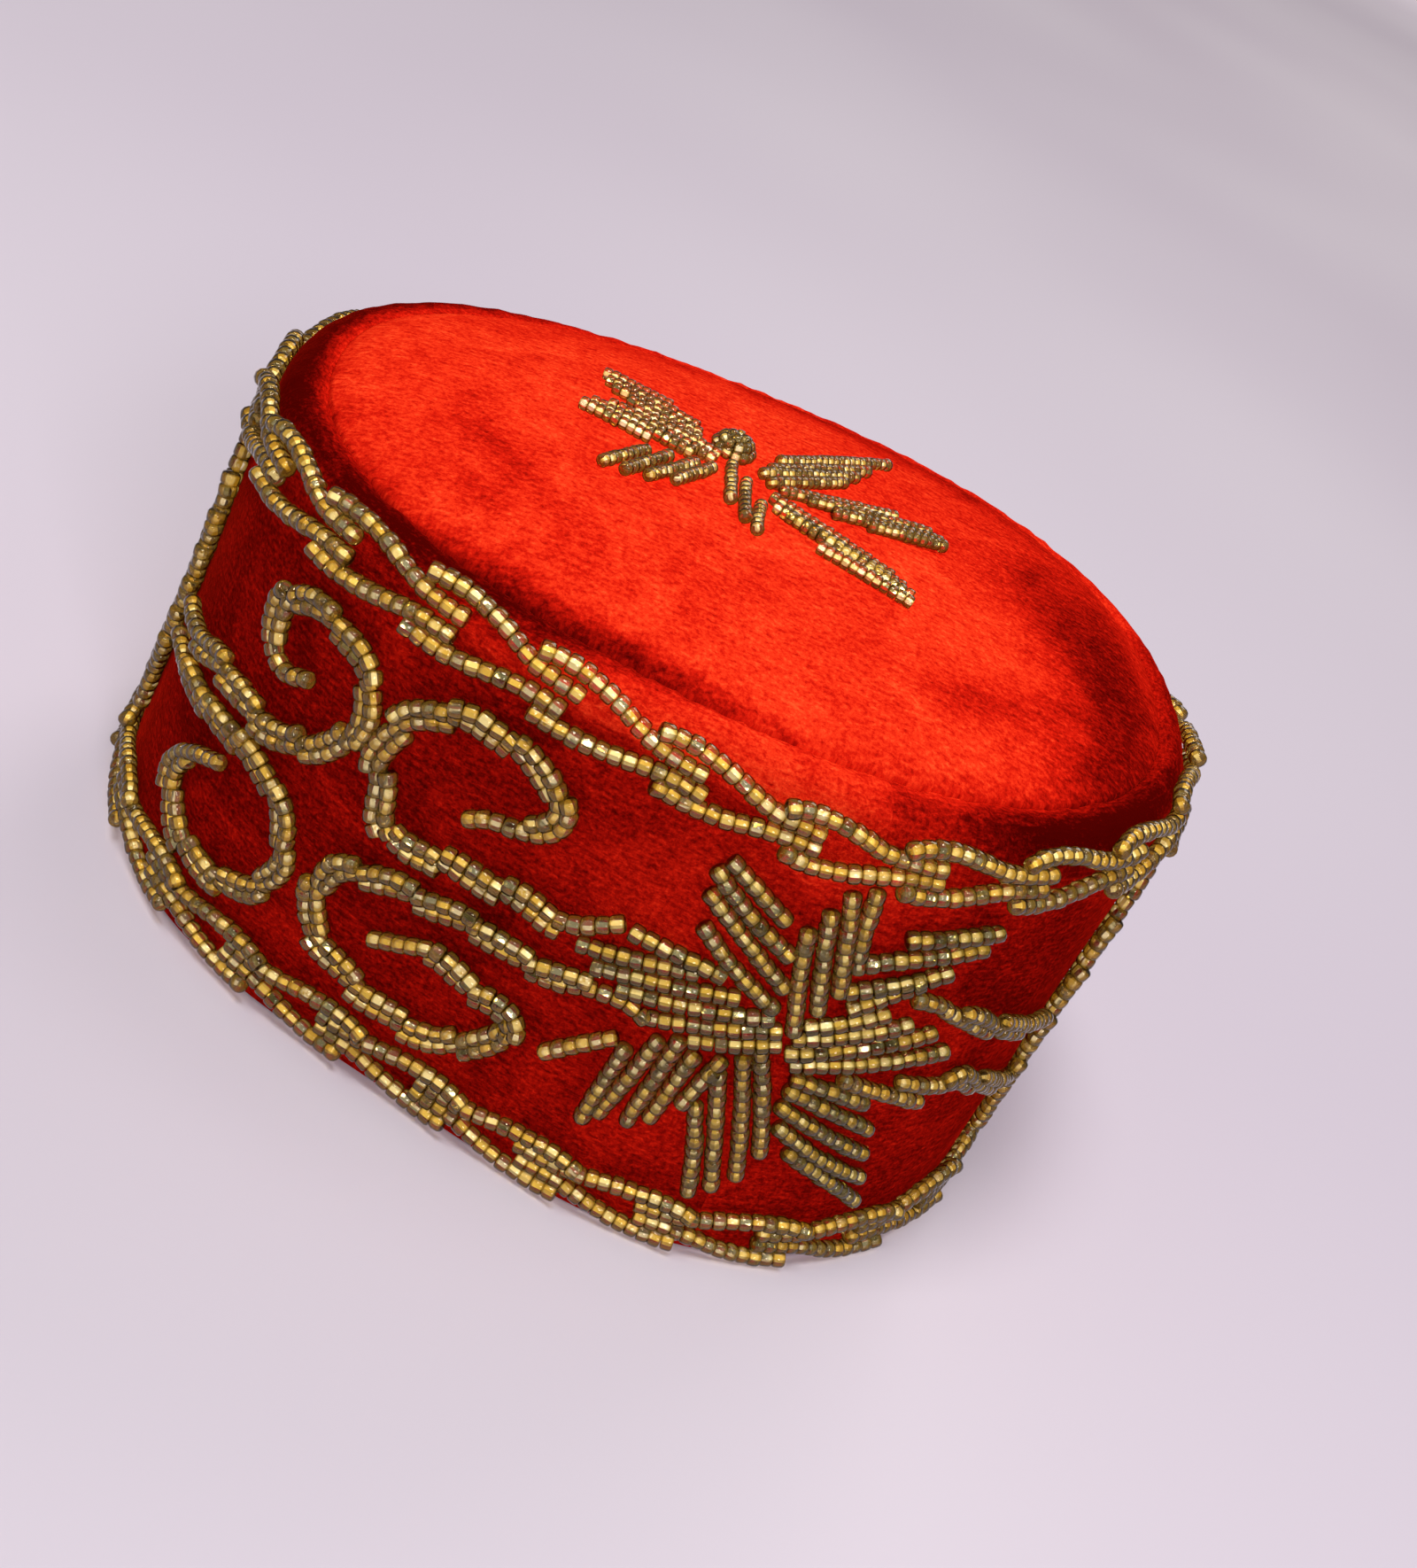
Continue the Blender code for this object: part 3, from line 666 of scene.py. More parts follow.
def bead_shell(radius, length):
    """The glass of one bead: a short round barrel with rounded rims."""
    outline = [(x * length / 2, r * radius) for x, r in BEAD_OUTLINE]
    return turned_mesh("bead_shell", outline, BEAD_SIDES, True)


def bead_core(radius, length):
    """The lined hole of one bead, as a thin square rod that fills it."""
    outline = [(x * length, r * radius) for x, r in CORE_OUTLINE]
    return turned_mesh("bead_core", outline, CORE_SIDES, False)


def turned_mesh(name, outline, sides, smooth):
    """A closed mesh turned about the X axis from (x, radius) pairs."""
    shape = bmesh.new()
    rings = []
    for x, radius in outline:
        angles = [2 * math.pi * i / sides for i in range(sides)]
        rings.append([shape.verts.new((x, radius * math.cos(a), radius * math.sin(a))) for a in angles])
    for ring, following in zip(rings, rings[1:]):
        for i in range(sides):
            j = (i + 1) % sides
            shape.faces.new((ring[i], ring[j], following[j], following[i]))
    shape.faces.new(rings[0])
    shape.faces.new(rings[-1])
    bmesh.ops.recalc_face_normals(shape, faces=shape.faces)
    mesh = bpy.data.meshes.new(name)
    shape.to_mesh(mesh)
    shape.free()
    if smooth:
        mesh.shade_smooth()
    return mesh


def bead_tree():
    """Nodes that put one part of a bead, its glass or its lining, on every point, turned along the string."""
    tree = bpy.data.node_groups.new("bead_strings", "GeometryNodeTree")
    for name, kind in (
        ("Geometry", "Geometry"),
        ("Bead Part", "Object"),
        ("Material", "Material"),
        ("Size Spread", "Float"),
        ("Tilt", "Float"),
        ("Seed", "Int"),
    ):
        tree.interface.new_socket(name, in_out="INPUT", socket_type="NodeSocket" + kind)
    tree.interface.new_socket("Geometry", in_out="OUTPUT", socket_type="NodeSocketGeometry")
    given = add_node(tree, "NodeGroupInput").outputs
    read = {}
    for name, kind in (("ahead", "FLOAT_VECTOR"), ("out", "FLOAT_VECTOR"), ("stretch", "FLOAT")):
        stored = add_node(tree, "GeometryNodeInputNamedAttribute", {"Name": name}, data_type=kind)
        read[name] = stored.outputs["Attribute"]
    turn = add_node(
        tree,
        "FunctionNodeAxesToRotation",
        {"Primary Axis": read["ahead"], "Secondary Axis": read["out"]},
        primary_axis="X",
        secondary_axis="Z",
    ).outputs["Rotation"]
    spread = {0: 1.0, 1: given["Size Spread"]}
    least = add_node(tree, "ShaderNodeMath", spread, operation="SUBTRACT").outputs[0]
    most = add_node(tree, "ShaderNodeMath", spread, operation="ADD").outputs[0]
    sizes = {"Min": least, "Max": most, "Seed": given["Seed"]}
    size = add_node(tree, "FunctionNodeRandomValue", sizes, data_type="FLOAT").outputs["Value"]
    shares = {"X": read["stretch"], "Y": size, "Z": size}
    scale = add_node(tree, "ShaderNodeCombineXYZ", shares).outputs["Vector"]
    low = add_node(tree, "ShaderNodeMath", {0: given["Tilt"], 1: -1.0}, operation="MULTIPLY").outputs[0]
    low_turn = add_node(tree, "ShaderNodeCombineXYZ", {"X": 0.0, "Y": low, "Z": low}).outputs["Vector"]
    high = {"X": FULL_TURN, "Y": given["Tilt"], "Z": given["Tilt"]}
    high_turn = add_node(tree, "ShaderNodeCombineXYZ", high).outputs["Vector"]
    turns = {"Min": low_turn, "Max": high_turn, "Seed": given["Seed"]}
    sway = add_node(tree, "FunctionNodeRandomValue", turns, data_type="FLOAT_VECTOR").outputs["Value"]
    swayed = add_node(tree, "FunctionNodeEulerToRotation", {"Euler": sway}).outputs["Rotation"]
    turned = add_node(
        tree, "FunctionNodeRotateRotation", {"Rotation": turn, "Rotate By": swayed}, rotation_space="LOCAL"
    ).outputs["Rotation"]
    shape = add_node(tree, "GeometryNodeObjectInfo", {"Object": given["Bead Part"]}).outputs["Geometry"]
    beads = add_node(
        tree,
        "GeometryNodeInstanceOnPoints",
        {"Points": given["Geometry"], "Instance": shape, "Rotation": turned, "Scale": scale},
    ).outputs["Instances"]
    real = add_node(tree, "GeometryNodeRealizeInstances", {"Geometry": beads}).outputs["Geometry"]
    finished = add_node(tree, "GeometryNodeSetMaterial", {"Geometry": real, "Material": given["Material"]})
    add_node(tree, "NodeGroupOutput", {"Geometry": finished.outputs["Geometry"]})
    return tree


def bead_pieces(name, strings, glass, lining, core_share, seed):
    """Makes two finished pieces from collected beads, their glass and their linings, as plain meshes."""
    points = bpy.data.meshes.new(name + "_points")
    points.from_pydata([bead[0] for bead in strings.beads], [], [])
    for index, (key, kind, field) in enumerate(BEAD_ATTRIBUTES, 1):
        attribute = points.attributes.new(key, kind, "POINT")
        for item, bead in zip(attribute.data, strings.beads):
            setattr(item, field, bead[index])
    source = mesh_object(name + "_points", points, [])
    shell = bead_shell(strings.radius, strings.pitch)
    core = bead_core(strings.radius * core_share, strings.pitch * CORE_LENGTH_SHARE)
    tree = bpy.data.node_groups.get("bead_strings") or bead_tree()
    made = []
    for kind, mesh, material in (("glass", shell, glass), ("linings", core, lining)):
        part = mesh_object(mesh.name, mesh, [material])
        modifier = source.modifiers.new("Bead strings", "NODES")
        modifier.node_group = tree
        values = {"Bead Part": part, "Material": material, "Seed": seed}
        values.update({"Size Spread": SIZE_SPREAD, "Tilt": TILT})
        for item in tree.interface.items_tree:
            if item.item_type == "SOCKET" and item.in_out == "INPUT" and item.name in values:
                modifier[item.identifier] = values[item.name]
        bpy.context.view_layer.update()
        graph = bpy.context.evaluated_depsgraph_get()
        finished = bpy.data.meshes.new_from_object(source.evaluated_get(graph), depsgraph=graph)
        finished.name = f"{name}_{kind}"
        source.modifiers.remove(modifier)
        bpy.data.objects.remove(part)
        bpy.data.meshes.remove(mesh)
        piece = bpy.data.objects.new(finished.name, finished)
        bpy.context.scene.collection.objects.link(piece)
        made.append(piece)
    bpy.data.objects.remove(source)
    bpy.data.meshes.remove(points)
    # Light passes through the real glass, so it casts no shadow on the velvet
    made[0].visible_shadow = False
    return made


def along_of(distance):
    """Thousandths of the way round for a length in metres."""
    return distance / GIRTH * WHOLE_ROUND


def height_of(distance):
    """Hundredths of the band's height for a length in metres."""
    return distance / BAND_HEIGHT * 100


def rope_strings(strings, height_at, units, phase, width, length, turned):
    """Lays a rope: each unit's two strands start wide apart and close up between the next unit's starts."""
    spacing = WHOLE_ROUND / units
    for unit in range(units):
        for side in (1, -1):
            start = phase + unit * spacing + along_of(strings.chance.uniform(-START_SPREAD, START_SPREAD))
            lag = STRAND_LAG if side < 0 else 0.0
            start += along_of(lag) * (-1 if turned else 1)
            run = along_of(length - lag + strings.chance.uniform(-LENGTH_SPREAD, LENGTH_SPREAD))
            spread = width * strings.chance.uniform(1 - WIDTH_SPREAD, 1 + WIDTH_SPREAD)
            places = []
            for share, offset in smooth_line(ROPE_STRAND, STRAND_SAMPLES):
                along = start + (-run if turned else run) * share
                height = height_at(bearing_at(along)) + side * offset * spread
                places.append((along, height_of(height)))
            strings.lay(places, band_point, ROPE_RISE)


def chain_strings(strings, route, reach, length, overlap):
    """Lays a chain along a route, of short strings that start on its outer side and end on its inner side."""
    places = smooth_line(route, ROUTE_SAMPLES)
    flat = [Vector((a / WHOLE_ROUND * GIRTH, b / 100 * BAND_HEIGHT, 0.0)) for a, b in places]
    walked = walk(flat)
    turning = 0.0
    for before, here, after in zip(flat, flat[1:], flat[2:]):
        first, second = here - before, after - here
        turning += first.cross(second).z / max(first.length * second.length, 1e-12)
    outer = -1.0 if turning > 0 else 1.0
    whole = walked[-1]
    count = max(1, round((whole - overlap) / (length - overlap)))
    step = (whole - overlap) / count
    for index in range(count):
        begin = index * step
        end = begin + step + overlap
        line = []
        for i in range(CHAIN_STEPS + 1):
            share = i / CHAIN_STEPS
            distance = begin + (end - begin) * share
            middle = on_line(flat, walked, distance)
            ahead = on_line(flat, walked, distance + 0.001) - on_line(flat, walked, distance - 0.001)
            side = Vector((-ahead.y, ahead.x, 0.0)).normalized()
            slide = outer * reach * math.cos(math.pi * share)
            if (index == 0 and share < 0.5) or (index == count - 1 and share > 0.5):
                slide = 0.0
            spot = middle + side * slide
            line.append((spot.x / GIRTH * WHOLE_ROUND, spot.y / BAND_HEIGHT * 100))
        strings.lay(line, band_point, 0.0 if index == 0 else CHAIN_RISE)


def leaf_strings(strings, rows, surface):
    """Lays the straight strings of a leaf, each a little bowed."""
    for a, b, c, d in rows:
        bow = strings.chance.uniform(-LEAF_BOW, LEAF_BOW)
        places = []
        for i in range(LEAF_STEPS + 1):
            share = i / LEAF_STEPS
            bend = bow * math.sin(math.pi * share)
            places.append((a + (c - a) * share + bend, b + (d - b) * share + bend))
        strings.lay(places, surface)


# Cloth


def cloth_grid(name, rows, columns, material, closed):
    """A mesh from rows of points round the cap, each with its place on the cloth and its level of nap and
    painted light.
    """
    shape = bmesh.new()
    nap = shape.verts.layers.float.new("nap")
    grid = []
    for row in rows:
        grid.append([shape.verts.new(point) for point, spot, level in row])
        for vert, (point, spot, level) in zip(grid[-1], row):
            vert[nap] = level
    layer = shape.loops.layers.uv.new("cloth")
    count = len(rows)
    last = count if closed else count - 1
    for i in range(last):
        j = (i + 1) % count
        for k in range(columns):
            m = (k + 1) % columns
            face = shape.faces.new((grid[i][k], grid[i][m], grid[j][m], grid[j][k]))
            spots = [rows[i][k][1], rows[i][m][1], rows[j][m][1], rows[j][k][1]]
            for loop, spot in zip(face.loops, spots):
                u = spot[0]
                if m == 0 and loop.vert in (grid[i][m], grid[j][m]):
                    u += spots[0][2]
                loop[layer].uv = (u, spot[1])
    if not closed:
        bmesh.ops.holes_fill(shape, edges=[edge for edge in shape.edges if edge.is_boundary], sides=0)
    bmesh.ops.recalc_face_normals(shape, faces=shape.faces)
    mesh = bpy.data.meshes.new(name)
    shape.to_mesh(mesh)
    shape.free()
    mesh.shade_smooth()
    return mesh_object(name, mesh, [material])


def ring_noise(bearing, scale, level):
    """Smooth noise that closes round the cap, at a scale and a level of its own."""
    return noise.noise(Vector((math.cos(bearing) * scale, math.sin(bearing) * scale, level)))


def soft_dent(bearing, climb, depth):
    """How far the velvet stands in or out where the stiffening has gone slack."""
    broad = ring_noise(bearing, DENT_WAVES[0], climb * DENT_WAVES[1])
    fine = ring_noise(bearing, FINE_DENT_WAVES[0], climb * FINE_DENT_WAVES[1])
    return depth * (broad + FINE_DENT_SHARE * fine)


def nap_and_light_level(patches, first, second, whole, base):
    """How light the velvet is painted at a place, from the patches round it: painted light and shade, and
    brushed nap.
    """
    level = base
    for at, height, reach, reach_height, change in patches:
        apart = (first - at + whole / 2) % whole - whole / 2
        level += change * math.exp(-((apart / reach) ** 2) - ((second - height) / reach_height) ** 2)
    return level


def band_level(settings, bearing, along, climb):
    """How light the velvet is painted on the band, nap and painted light alike, which takes the top's level
    from the rope upwards.
    """
    level = nap_and_light_level(BAND_NAP_AND_LIGHT, along, height_of(climb), WHOLE_ROUND, settings.band_nap_and_light)
    turned = min(max((climb - BAND_HEIGHT) / NAP_AND_LIGHT_BLEND + 0.5, 0.0), 1.0)
    if turned > 0:
        turn = 2 * max(0.0, climb - BAND_HEIGHT) / (SHOULDER_RISE + SHOULDER_DEPTH)
        share = 1 + (seam_inset() - SHOULDER_DEPTH * (1 - math.cos(turn))) / HEM_HALF_WIDTH
        over = nap_and_light_level(CROWN_NAP_AND_LIGHT, math.degrees(bearing), share, 360.0, settings.crown_nap_and_light)
        over = nap_and_light_level(SHOULDER_NAP_AND_LIGHT, math.degrees(bearing), share, 360.0, over)
        level += (over - level) * turned
    return level


def band_cloth(settings, material):
    """The side band: outer velvet with a rolled hem, the shoulder, and the inner face."""
    columns = settings.columns
    bearings = [bearing_at(i * WHOLE_ROUND / columns) for i in range(columns)]
    turn_length = math.radians(SHOULDER_TURN) * (SHOULDER_RISE + SHOULDER_DEPTH) / 2
    rows = []
    heights = [rise - HEM_DROP for rise in HEM_ROWS]
    heights += [BAND_HEIGHT * i / BAND_ROWS for i in range(1, BAND_ROWS + 1)]
    heights += [BAND_HEIGHT + turn_length * i / SHOULDER_ROWS for i in range(1, SHOULDER_ROWS + 2)]
    for climb in heights:
        row = []
        share = max(0.0, (climb - BAND_HEIGHT) / turn_length)
        for index, bearing in enumerate(bearings):
            roll = HEM_ROLL * max(0.0, 1 - (climb + HEM_DROP) / HEM_ROLL_REACH) ** 2
            middle = math.sin(math.pi * min(max(climb / BAND_HEIGHT, 0.0), 1.0))
            slack = middle * (1 - EDGE_SLACK) + EDGE_SLACK
            lift = max(soft_dent(bearing, climb, settings.slack) * slack, LEAST_LIFT) - roll
            pucker = ring_noise(bearing, SHOULDER_FOLDS, share * SHOULDER_FOLD_RUN)
            lift += (SHOULDER_PUCKER * pucker - SHOULDER_TUCK * share**3) * share
            level = band_level(settings, bearing, index / columns * WHOLE_ROUND, climb)
            row.append((skin_point(bearing, climb, lift), (index / columns * GIRTH, climb, GIRTH), level))
        rows.append(row)
    inner = [-HEM_DROP] + INSIDE_ROWS
    for i in range(1, INSIDE_SHOULDER_ROWS + 1):
        inner.append(BAND_HEIGHT + turn_length * i / INSIDE_SHOULDER_ROWS)
    for climb in reversed(inner):
        row = []
        for index, bearing in enumerate(bearings):
            spot = (index / columns * GIRTH, -climb, GIRTH)
            row.append((skin_point(bearing, climb, -CLOTH), spot, INSIDE_LEVEL))
        rows.append(row)
    return cloth_grid("band_cloth", rows, columns, material, True)


def crown_cloth(settings, material):
    """The top panel: a soft padded dome whose edge rolls down into the seam."""
    columns = settings.columns
    bearings = [bearing_at(i * WHOLE_ROUND / columns) for i in range(columns)]
    shares = [1 - (1 - i / CROWN_RINGS) ** RING_CROWDING for i in range(1, CROWN_RINGS + 1)]
    shares.append(TUCKED_RING)
    rows = []
    for share in shares:
        row = []
        for bearing in bearings:
            point = top_point(bearing, min(share, WIDEST_RING), 0.0)
            edge = max(0.0, 1 - share)
            spot = Vector((point.x * TOP_DENT_WAVES, point.y * TOP_DENT_WAVES, TOP_DENT_LEVEL))
            pucker = ring_noise(bearing, SEAM_FOLDS, SEAM_FOLD_LEVEL)
            point.z += settings.slack * noise.noise(spot) * min(1.0, edge * TOP_DENT_RISE)
            point.z += SEAM_PUCKER * pucker * math.exp(-edge / PUCKER_REACH) * min(1.0, edge * PUCKER_RISE)
            if share > 1:
                point.z -= SEAM_TUCK
            level = nap_and_light_level(CROWN_NAP_AND_LIGHT, math.degrees(bearing), share, 360.0, settings.crown_nap_and_light)
            row.append((point, (point.x, point.y, 0.0), level))
        rows.append(row)
    for share in CROWN_INSIDE:
        rows.append([(top_point(b, share, -CLOTH), (b, share, 0.0), INSIDE_LEVEL) for b in bearings])
    return cloth_grid("crown_cloth", rows, columns, material, False)


# Settings


class CapClothSettings(bpy.types.PropertyGroup):
    columns: bpy.props.IntProperty(
        name="Columns", description="Facets round the cloth", default=360, min=60
    )
    slack: bpy.props.FloatProperty(
        name="Slack", description="Depth of the soft dents in the cloth", default=0.0009, unit="LENGTH"
    )
    # The band's base level is lower than the top's: painted shade on the sides and painted light on the top,
    # along with the nap
    band_nap_and_light: bpy.props.FloatProperty(
        name="Band nap and light",
        description="How light the band's nap lies between its patches",
        default=0.34, subtype="FACTOR",
    )
    crown_nap_and_light: bpy.props.FloatProperty(
        name="Top nap and light",
        description="How light the top's nap lies between its patches",
        default=0.73, subtype="FACTOR",
    )


class CapBeadSettings(bpy.types.PropertyGroup):
    radius: bpy.props.FloatProperty(
        name="Bead radius", description="Radius of the beads on the band", default=0.00182, unit="LENGTH"
    )
    pitch: bpy.props.FloatProperty(
        name="Bead pitch",
        description="Distance between the beads on the band",
        default=0.0026, unit="LENGTH",
    )
    small_radius: bpy.props.FloatProperty(
        name="Small bead radius",
        description="Radius of the beads on the top",
        default=0.00142, unit="LENGTH",
    )
    small_pitch: bpy.props.FloatProperty(
        name="Small bead pitch",
        description="Distance between the beads on the top",
        default=0.0018, unit="LENGTH",
    )
    core_share: bpy.props.FloatProperty(
        name="Lining share",
        description="Radius of a bead's lined hole as a share of its own",
        default=0.30, subtype="FACTOR",
    )
    rope_width: bpy.props.FloatProperty(
        name="Rope offset", description="Widest offset of a rope's strands", default=0.0045, unit="LENGTH"
    )
    rope_length: bpy.props.FloatProperty(
        name="Strand length", description="Length of one strand of a rope", default=0.0338, unit="LENGTH"
    )
    chain_reach: bpy.props.FloatProperty(
        name="Chain reach",
        description="How far a chain's strings lie to either side of it",
        default=0.0017, unit="LENGTH",
    )
    chain_length: bpy.props.FloatProperty(
        name="Chain string length",
        description="Length of one string in a chain",
        default=0.024, unit="LENGTH",
    )
    chain_overlap: bpy.props.FloatProperty(
        name="Chain overlap",
        description="Length by which a chain's strings overlap",
        default=0.0120, unit="LENGTH",
    )
    seed: bpy.props.IntProperty(
        name="Seed", description="Seed of the small differences between beads", default=11
    )


class CapStageSettings(bpy.types.PropertyGroup):
    key_power: bpy.props.FloatProperty(
        name="Key", description="Power of the large high light", default=5.0, unit="POWER"
    )
    fill_power: bpy.props.FloatProperty(
        name="Fill", description="Power of the soft front light", default=8.0, unit="POWER"
    )
    glint_power: bpy.props.FloatProperty(
        name="Glint", description="Power of the light that sparks in the beads", default=14.0, unit="POWER"
    )
    wash_power: bpy.props.FloatProperty(
        name="Wash", description="Power of the wide light on the background", default=15.0, unit="POWER"
    )
    far_wash_power: bpy.props.FloatProperty(
        name="Far wash", description="Power of the light over the far floor", default=30.0, unit="POWER"
    )
    sky: bpy.props.FloatProperty(name="Sky", description="Brightness of the pale surroundings", default=0.20)


# Operators


def dress(piece, node):
    """Ties a finished piece to the part's body, and hides the node it stands for."""
    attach(piece, "root")
    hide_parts(node)


def honey_glass():
    """The glass of most beads, made once."""
    return bpy.data.materials.get("honey_glass") or glass_material("honey_glass", "#F4E8BC", "#A8842E")


def smoky_glass():
    """The darker glass of the flowers' beads, made once."""
    return bpy.data.materials.get("smoky_glass") or glass_material("smoky_glass", "#E0D6A8", "#806A26")


def bead_lining():
    """The lining of the band's beads, made once."""
    foil = [(0.08, "#8C8250"), (0.20, "#F4EECC"), (0.38, "#FFF8DC")]
    stops = foil + [(0.44, "#CCA440"), (0.65, "#E6C25C"), (0.88, "#F4E4B0")]
    return bpy.data.materials.get("bead_lining") or lining_material("bead_lining", stops, 0.38)


def small_bead_lining():
    """The paler lining of the small beads on the top, made once."""
    stops = [(0.15, "#B49A60"), (0.4, "#E8D49A"), (0.65, "#F4DC98"), (0.85, "#FFF4D8")]
    return bpy.data.materials.get("small_bead_lining") or lining_material("small_bead_lining", stops, 0.5)


def dress_beads(node, strings, glass, lining, core_share, seed):
    """Makes the glass and the linings of one node's beads, and ties both to the part."""
    for piece in bead_pieces(node, strings, glass, lining, core_share, seed):
        dress(piece, node)


class CAP_OT_cloth(bpy.types.Operator):
    """Makes the velvet band and the velvet top"""

    bl_idname = "cap.cloth"
    bl_label = "Cloth"

    def execute(self, context):
        settings = context.scene.cap_cloth
        band = velvet_material("red_velvet", VELVET, 3.0)
        top = velvet_material("red_velvet_top", VELVET, 2.2)
        dress(band_cloth(settings, band), "side_band")
        dress(crown_cloth(settings, top), "crown_top")
        return {"FINISHED"}


class CAP_OT_ropes(bpy.types.Operator):
    """Makes the two bead ropes round the band"""

    bl_idname = "cap.ropes"
    bl_label = "Bead ropes"

    def execute(self, context):
        settings = context.scene.cap_beads
        share, slot = settings.core_share, "gold_lined_beads_rope"
        plans = [
            ("upper_rope", upper_rope_height, UPPER_ROPE_UNITS, UPPER_ROPE_START, False),
            ("lower_rope", lower_rope_height, LOWER_ROPE_UNITS, LOWER_ROPE_START, True),
        ]
        for index, (node, height_at, units, phase, turned) in enumerate(plans):
            seed = settings.seed + index
            strings = Strings(settings.radius, settings.pitch, seed)
            rope_strings(strings, height_at, units, phase, settings.rope_width, settings.rope_length, turned)
            dress_beads(node, strings, honey_glass(), bead_lining(), share, seed)
        return {"FINISHED"}


class CAP_OT_chains(bpy.types.Operator):
    """Makes the bead scrolls, vines, stems and small leaves on the band"""

    bl_idname = "cap.chains"
    bl_label = "Bead chains"

    def execute(self, context):
        settings = context.scene.cap_beads
        share, slot = settings.core_share, "gold_lined_beads_scroll"
        seed = settings.seed + SEED_STEP
        for side, shift in SIDES.items():
            for name, route in {**ROUTES, **SMALL_LEAVES}.items():
                seed += 1
                strings = Strings(settings.radius, settings.pitch, seed)
                moved = [(a + shift, pattern_height(side, b)) for a, b in route]
                if name in SMALL_LEAVES:
                    strings.lay(smooth_line(moved, ROUTE_SAMPLES), band_point)
                else:
                    more = CHAIN_WIDTHS.get(name, 1.0)
                    reach, overlap = settings.chain_reach * more, settings.chain_overlap * more
                    chain_strings(strings, moved, reach, settings.chain_length, overlap)
                dress_beads(f"{side}_{name}", strings, honey_glass(), bead_lining(), share, seed)
        return {"FINISHED"}


class CAP_OT_flowers(bpy.types.Operator):
    """Makes the bead leaves of both flowers on the band"""

    bl_idname = "cap.flowers"
    bl_label = "Bead flowers"

    def execute(self, context):
        settings = context.scene.cap_beads
        share, slot = settings.core_share, "gold_lined_beads_leaf"
        seed = settings.seed + 2 * SEED_STEP
        for side, shift in SIDES.items():
            for name, rows in LEAVES.items():
                seed += 1
                strings = Strings(settings.radius, settings.pitch, seed)
                moved = []
                for a, b, c, d in rows:
                    moved.append((a + shift, pattern_height(side, b), c + shift, pattern_height(side, d)))
                leaf_strings(strings, moved, band_point)
                dress_beads(f"{side}_{name}", strings, smoky_glass(), bead_lining(), share, seed)
        return {"FINISHED"}


class CAP_OT_sprig(bpy.types.Operator):
    """Makes the sprig of small beads on the top"""

    bl_idname = "cap.sprig"
    bl_label = "Bead sprig"

    def execute(self, context):
        settings = context.scene.cap_beads
        share, slot = settings.core_share, "gold_lined_beads_sprig"
        seed = settings.seed + 3 * SEED_STEP
        for name, rows in SPRIG.items():
            seed += 1
            strings = Strings(settings.small_radius, settings.small_pitch, seed)
            leaf_strings(strings, rows, sprig_point)
            dress_beads(name, strings, honey_glass(), small_bead_lining(), share, seed)
        strings = Strings(settings.small_radius, settings.small_pitch, seed + 1)
        centre = sprig_point(*KNOB_PLACE, 0.0)
        for ring, (reach, rise, count) in enumerate(KNOB_RINGS):
            for i in range(count):
                angle = 2 * math.pi * i / count + ring * KNOB_RING_TURN
                out = Vector((math.cos(angle), math.sin(angle), KNOB_TILT)).normalized()
                ahead = Vector((-math.sin(angle), math.cos(angle), 0.0))
                place = centre + Vector((reach * math.cos(angle), reach * math.sin(angle), rise))
                strings.add(place, ahead, out, 1.0, 0.0)
        dress_beads("sprig_knob", strings, honey_glass(), small_bead_lining(), share, seed + 1)
        return {"FINISHED"}


class CAP_OT_stage(bpy.types.Operator):
    """Makes the floor, the soft lights and the camera"""

    bl_idname = "cap.stage"
    bl_label = "Stage"

    def execute(self, context):
        settings = context.scene.cap_stage
        shape = bmesh.new()
        bmesh.ops.create_grid(shape, x_segments=1, y_segments=1, size=FLOOR_REACH)
        mesh = bpy.data.meshes.new("floor")
        shape.to_mesh(mesh)
        shape.free()
        mesh_object("floor", mesh, [floor_material()])
        world = bpy.data.worlds.new("studio")
        world.use_nodes = True
        sky = world.node_tree.nodes["Background"].inputs
        sky["Color"].default_value = srgb("#E6E4EA")
        sky["Strength"].default_value = settings.sky
        context.scene.world = world
        for name, (place, size, colour, target) in LIGHTS.items():
            soft_light(name, place, size, getattr(settings, name + "_power"), colour, target)
        stage_camera(context)
        context.scene.view_settings.view_transform = "Standard"
        return {"FINISHED"}


def soft_light(name, place, size, power, colour, target):
    """A large square light that looks at its target."""
    data = bpy.data.lights.new(name, "AREA")
    data.size = size
    data.energy = power
    data.color = srgb(colour)[:3]
    light = bpy.data.objects.new(name, data)
    light.location = place
    light.rotation_euler = (Vector(target) - Vector(place)).to_track_quat("-Z", "Y").to_euler()
    bpy.context.scene.collection.objects.link(light)


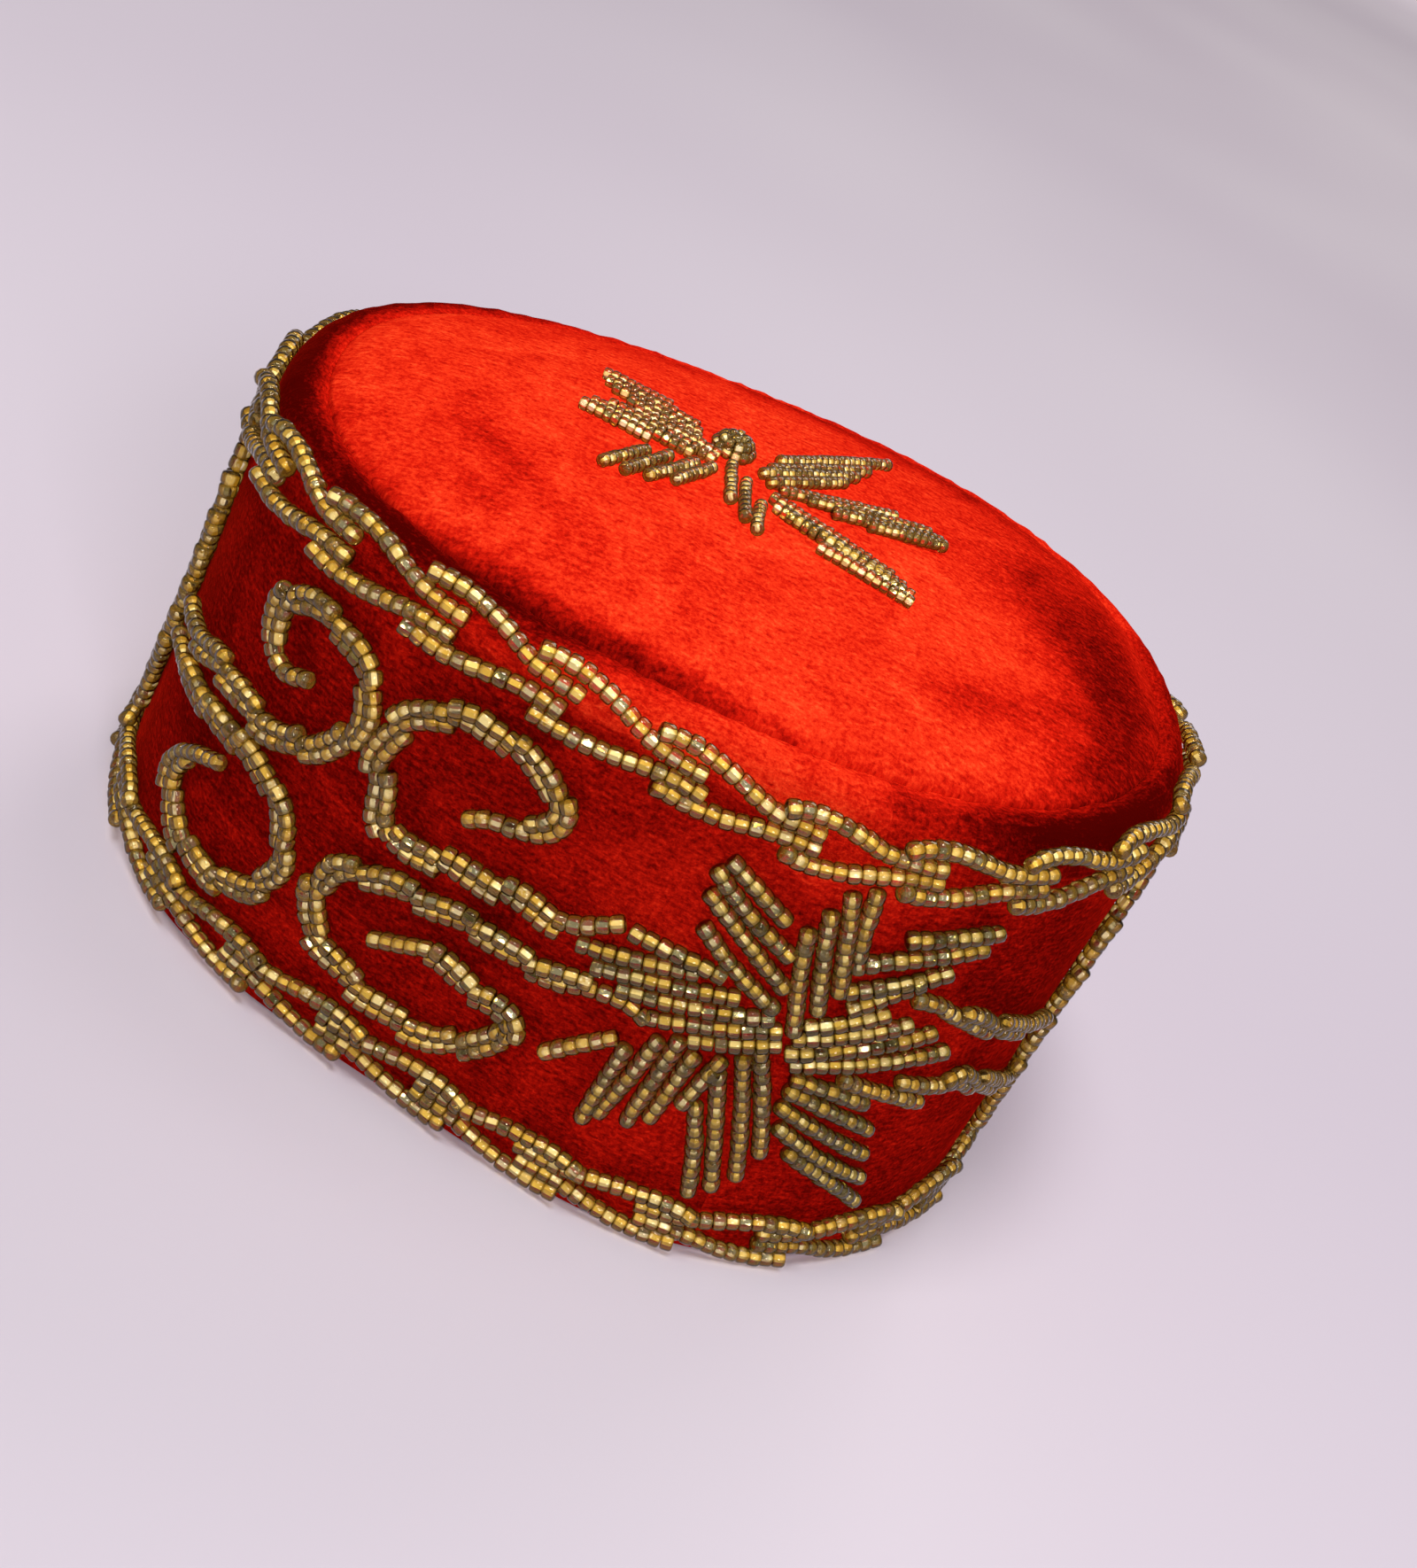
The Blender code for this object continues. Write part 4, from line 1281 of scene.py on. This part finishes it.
def stage_camera(context):
    """The camera at the photograph's angle, rolled as the photograph is."""
    place = in_frame(*CAMERA_PLACE)
    target = in_frame(*CAMERA_TARGET)
    back = (place - target).normalized()
    right = Vector((-back.y, back.x, 0.0)).normalized()
    up = back.cross(right)
    roll = math.radians(CAMERA_ROLL)
    turned_right = right * math.cos(roll) + up * math.sin(roll)
    turned_up = up * math.cos(roll) - right * math.sin(roll)
    data = bpy.data.cameras.new("camera")
    data.lens = CAMERA_LENS
    data.sensor_width = CAMERA_SENSOR
    data.clip_start = CAMERA_NEAREST
    camera = bpy.data.objects.new("camera", data)
    axes = Matrix((turned_right, turned_up, back)).transposed().to_4x4()
    camera.matrix_world = Matrix.Translation(place) @ axes
    context.scene.collection.objects.link(camera)
    context.scene.camera = camera


BEAD_SETTINGS = (
    "radius", "pitch", "small_radius", "small_pitch", "core_share", "rope_width", "rope_length",
    "chain_reach", "chain_length", "chain_overlap", "seed",
)
STAGE_SETTINGS = ("key_power", "fill_power", "glint_power", "wash_power", "far_wash_power", "sky")


class CAP_PT_panel(bpy.types.Panel):
    """Buttons and settings for the cap's pieces"""

    bl_label = "Beaded cap"
    bl_idname = "CAP_PT_panel"
    bl_space_type = "VIEW_3D"
    bl_region_type = "UI"
    bl_category = "Cap"

    def draw(self, context):
        scene = context.scene
        for title, settings, names in (
            ("Cloth", scene.cap_cloth, ("columns", "slack", "band_nap_and_light", "crown_nap_and_light")),
            ("Beads", scene.cap_beads, BEAD_SETTINGS),
            ("Stage", scene.cap_stage, STAGE_SETTINGS),
        ):
            box = self.layout.box()
            box.label(text=title)
            for name in names:
                box.prop(settings, name)
        for operator in OPERATORS:
            self.layout.operator(operator.bl_idname)


OPERATORS = (CAP_OT_cloth, CAP_OT_ropes, CAP_OT_chains, CAP_OT_flowers, CAP_OT_sprig, CAP_OT_stage)
GROUPS = {"cap_cloth": CapClothSettings, "cap_beads": CapBeadSettings, "cap_stage": CapStageSettings}


def register():
    for name, group in GROUPS.items():
        bpy.utils.register_class(group)
        setattr(bpy.types.Scene, name, bpy.props.PointerProperty(type=group))
    for operator in OPERATORS:
        bpy.utils.register_class(operator)
    bpy.utils.register_class(CAP_PT_panel)


def unregister():
    bpy.utils.unregister_class(CAP_PT_panel)
    for operator in reversed(OPERATORS):
        bpy.utils.unregister_class(operator)
    for name, group in GROUPS.items():
        delattr(bpy.types.Scene, name)
        bpy.utils.unregister_class(group)


def main():
    register()
    bpy.ops.cap.cloth()
    bpy.ops.cap.ropes()
    bpy.ops.cap.chains()
    bpy.ops.cap.flowers()
    bpy.ops.cap.sprig()
    bpy.ops.cap.stage()


if __name__ == "__main__":
    main()
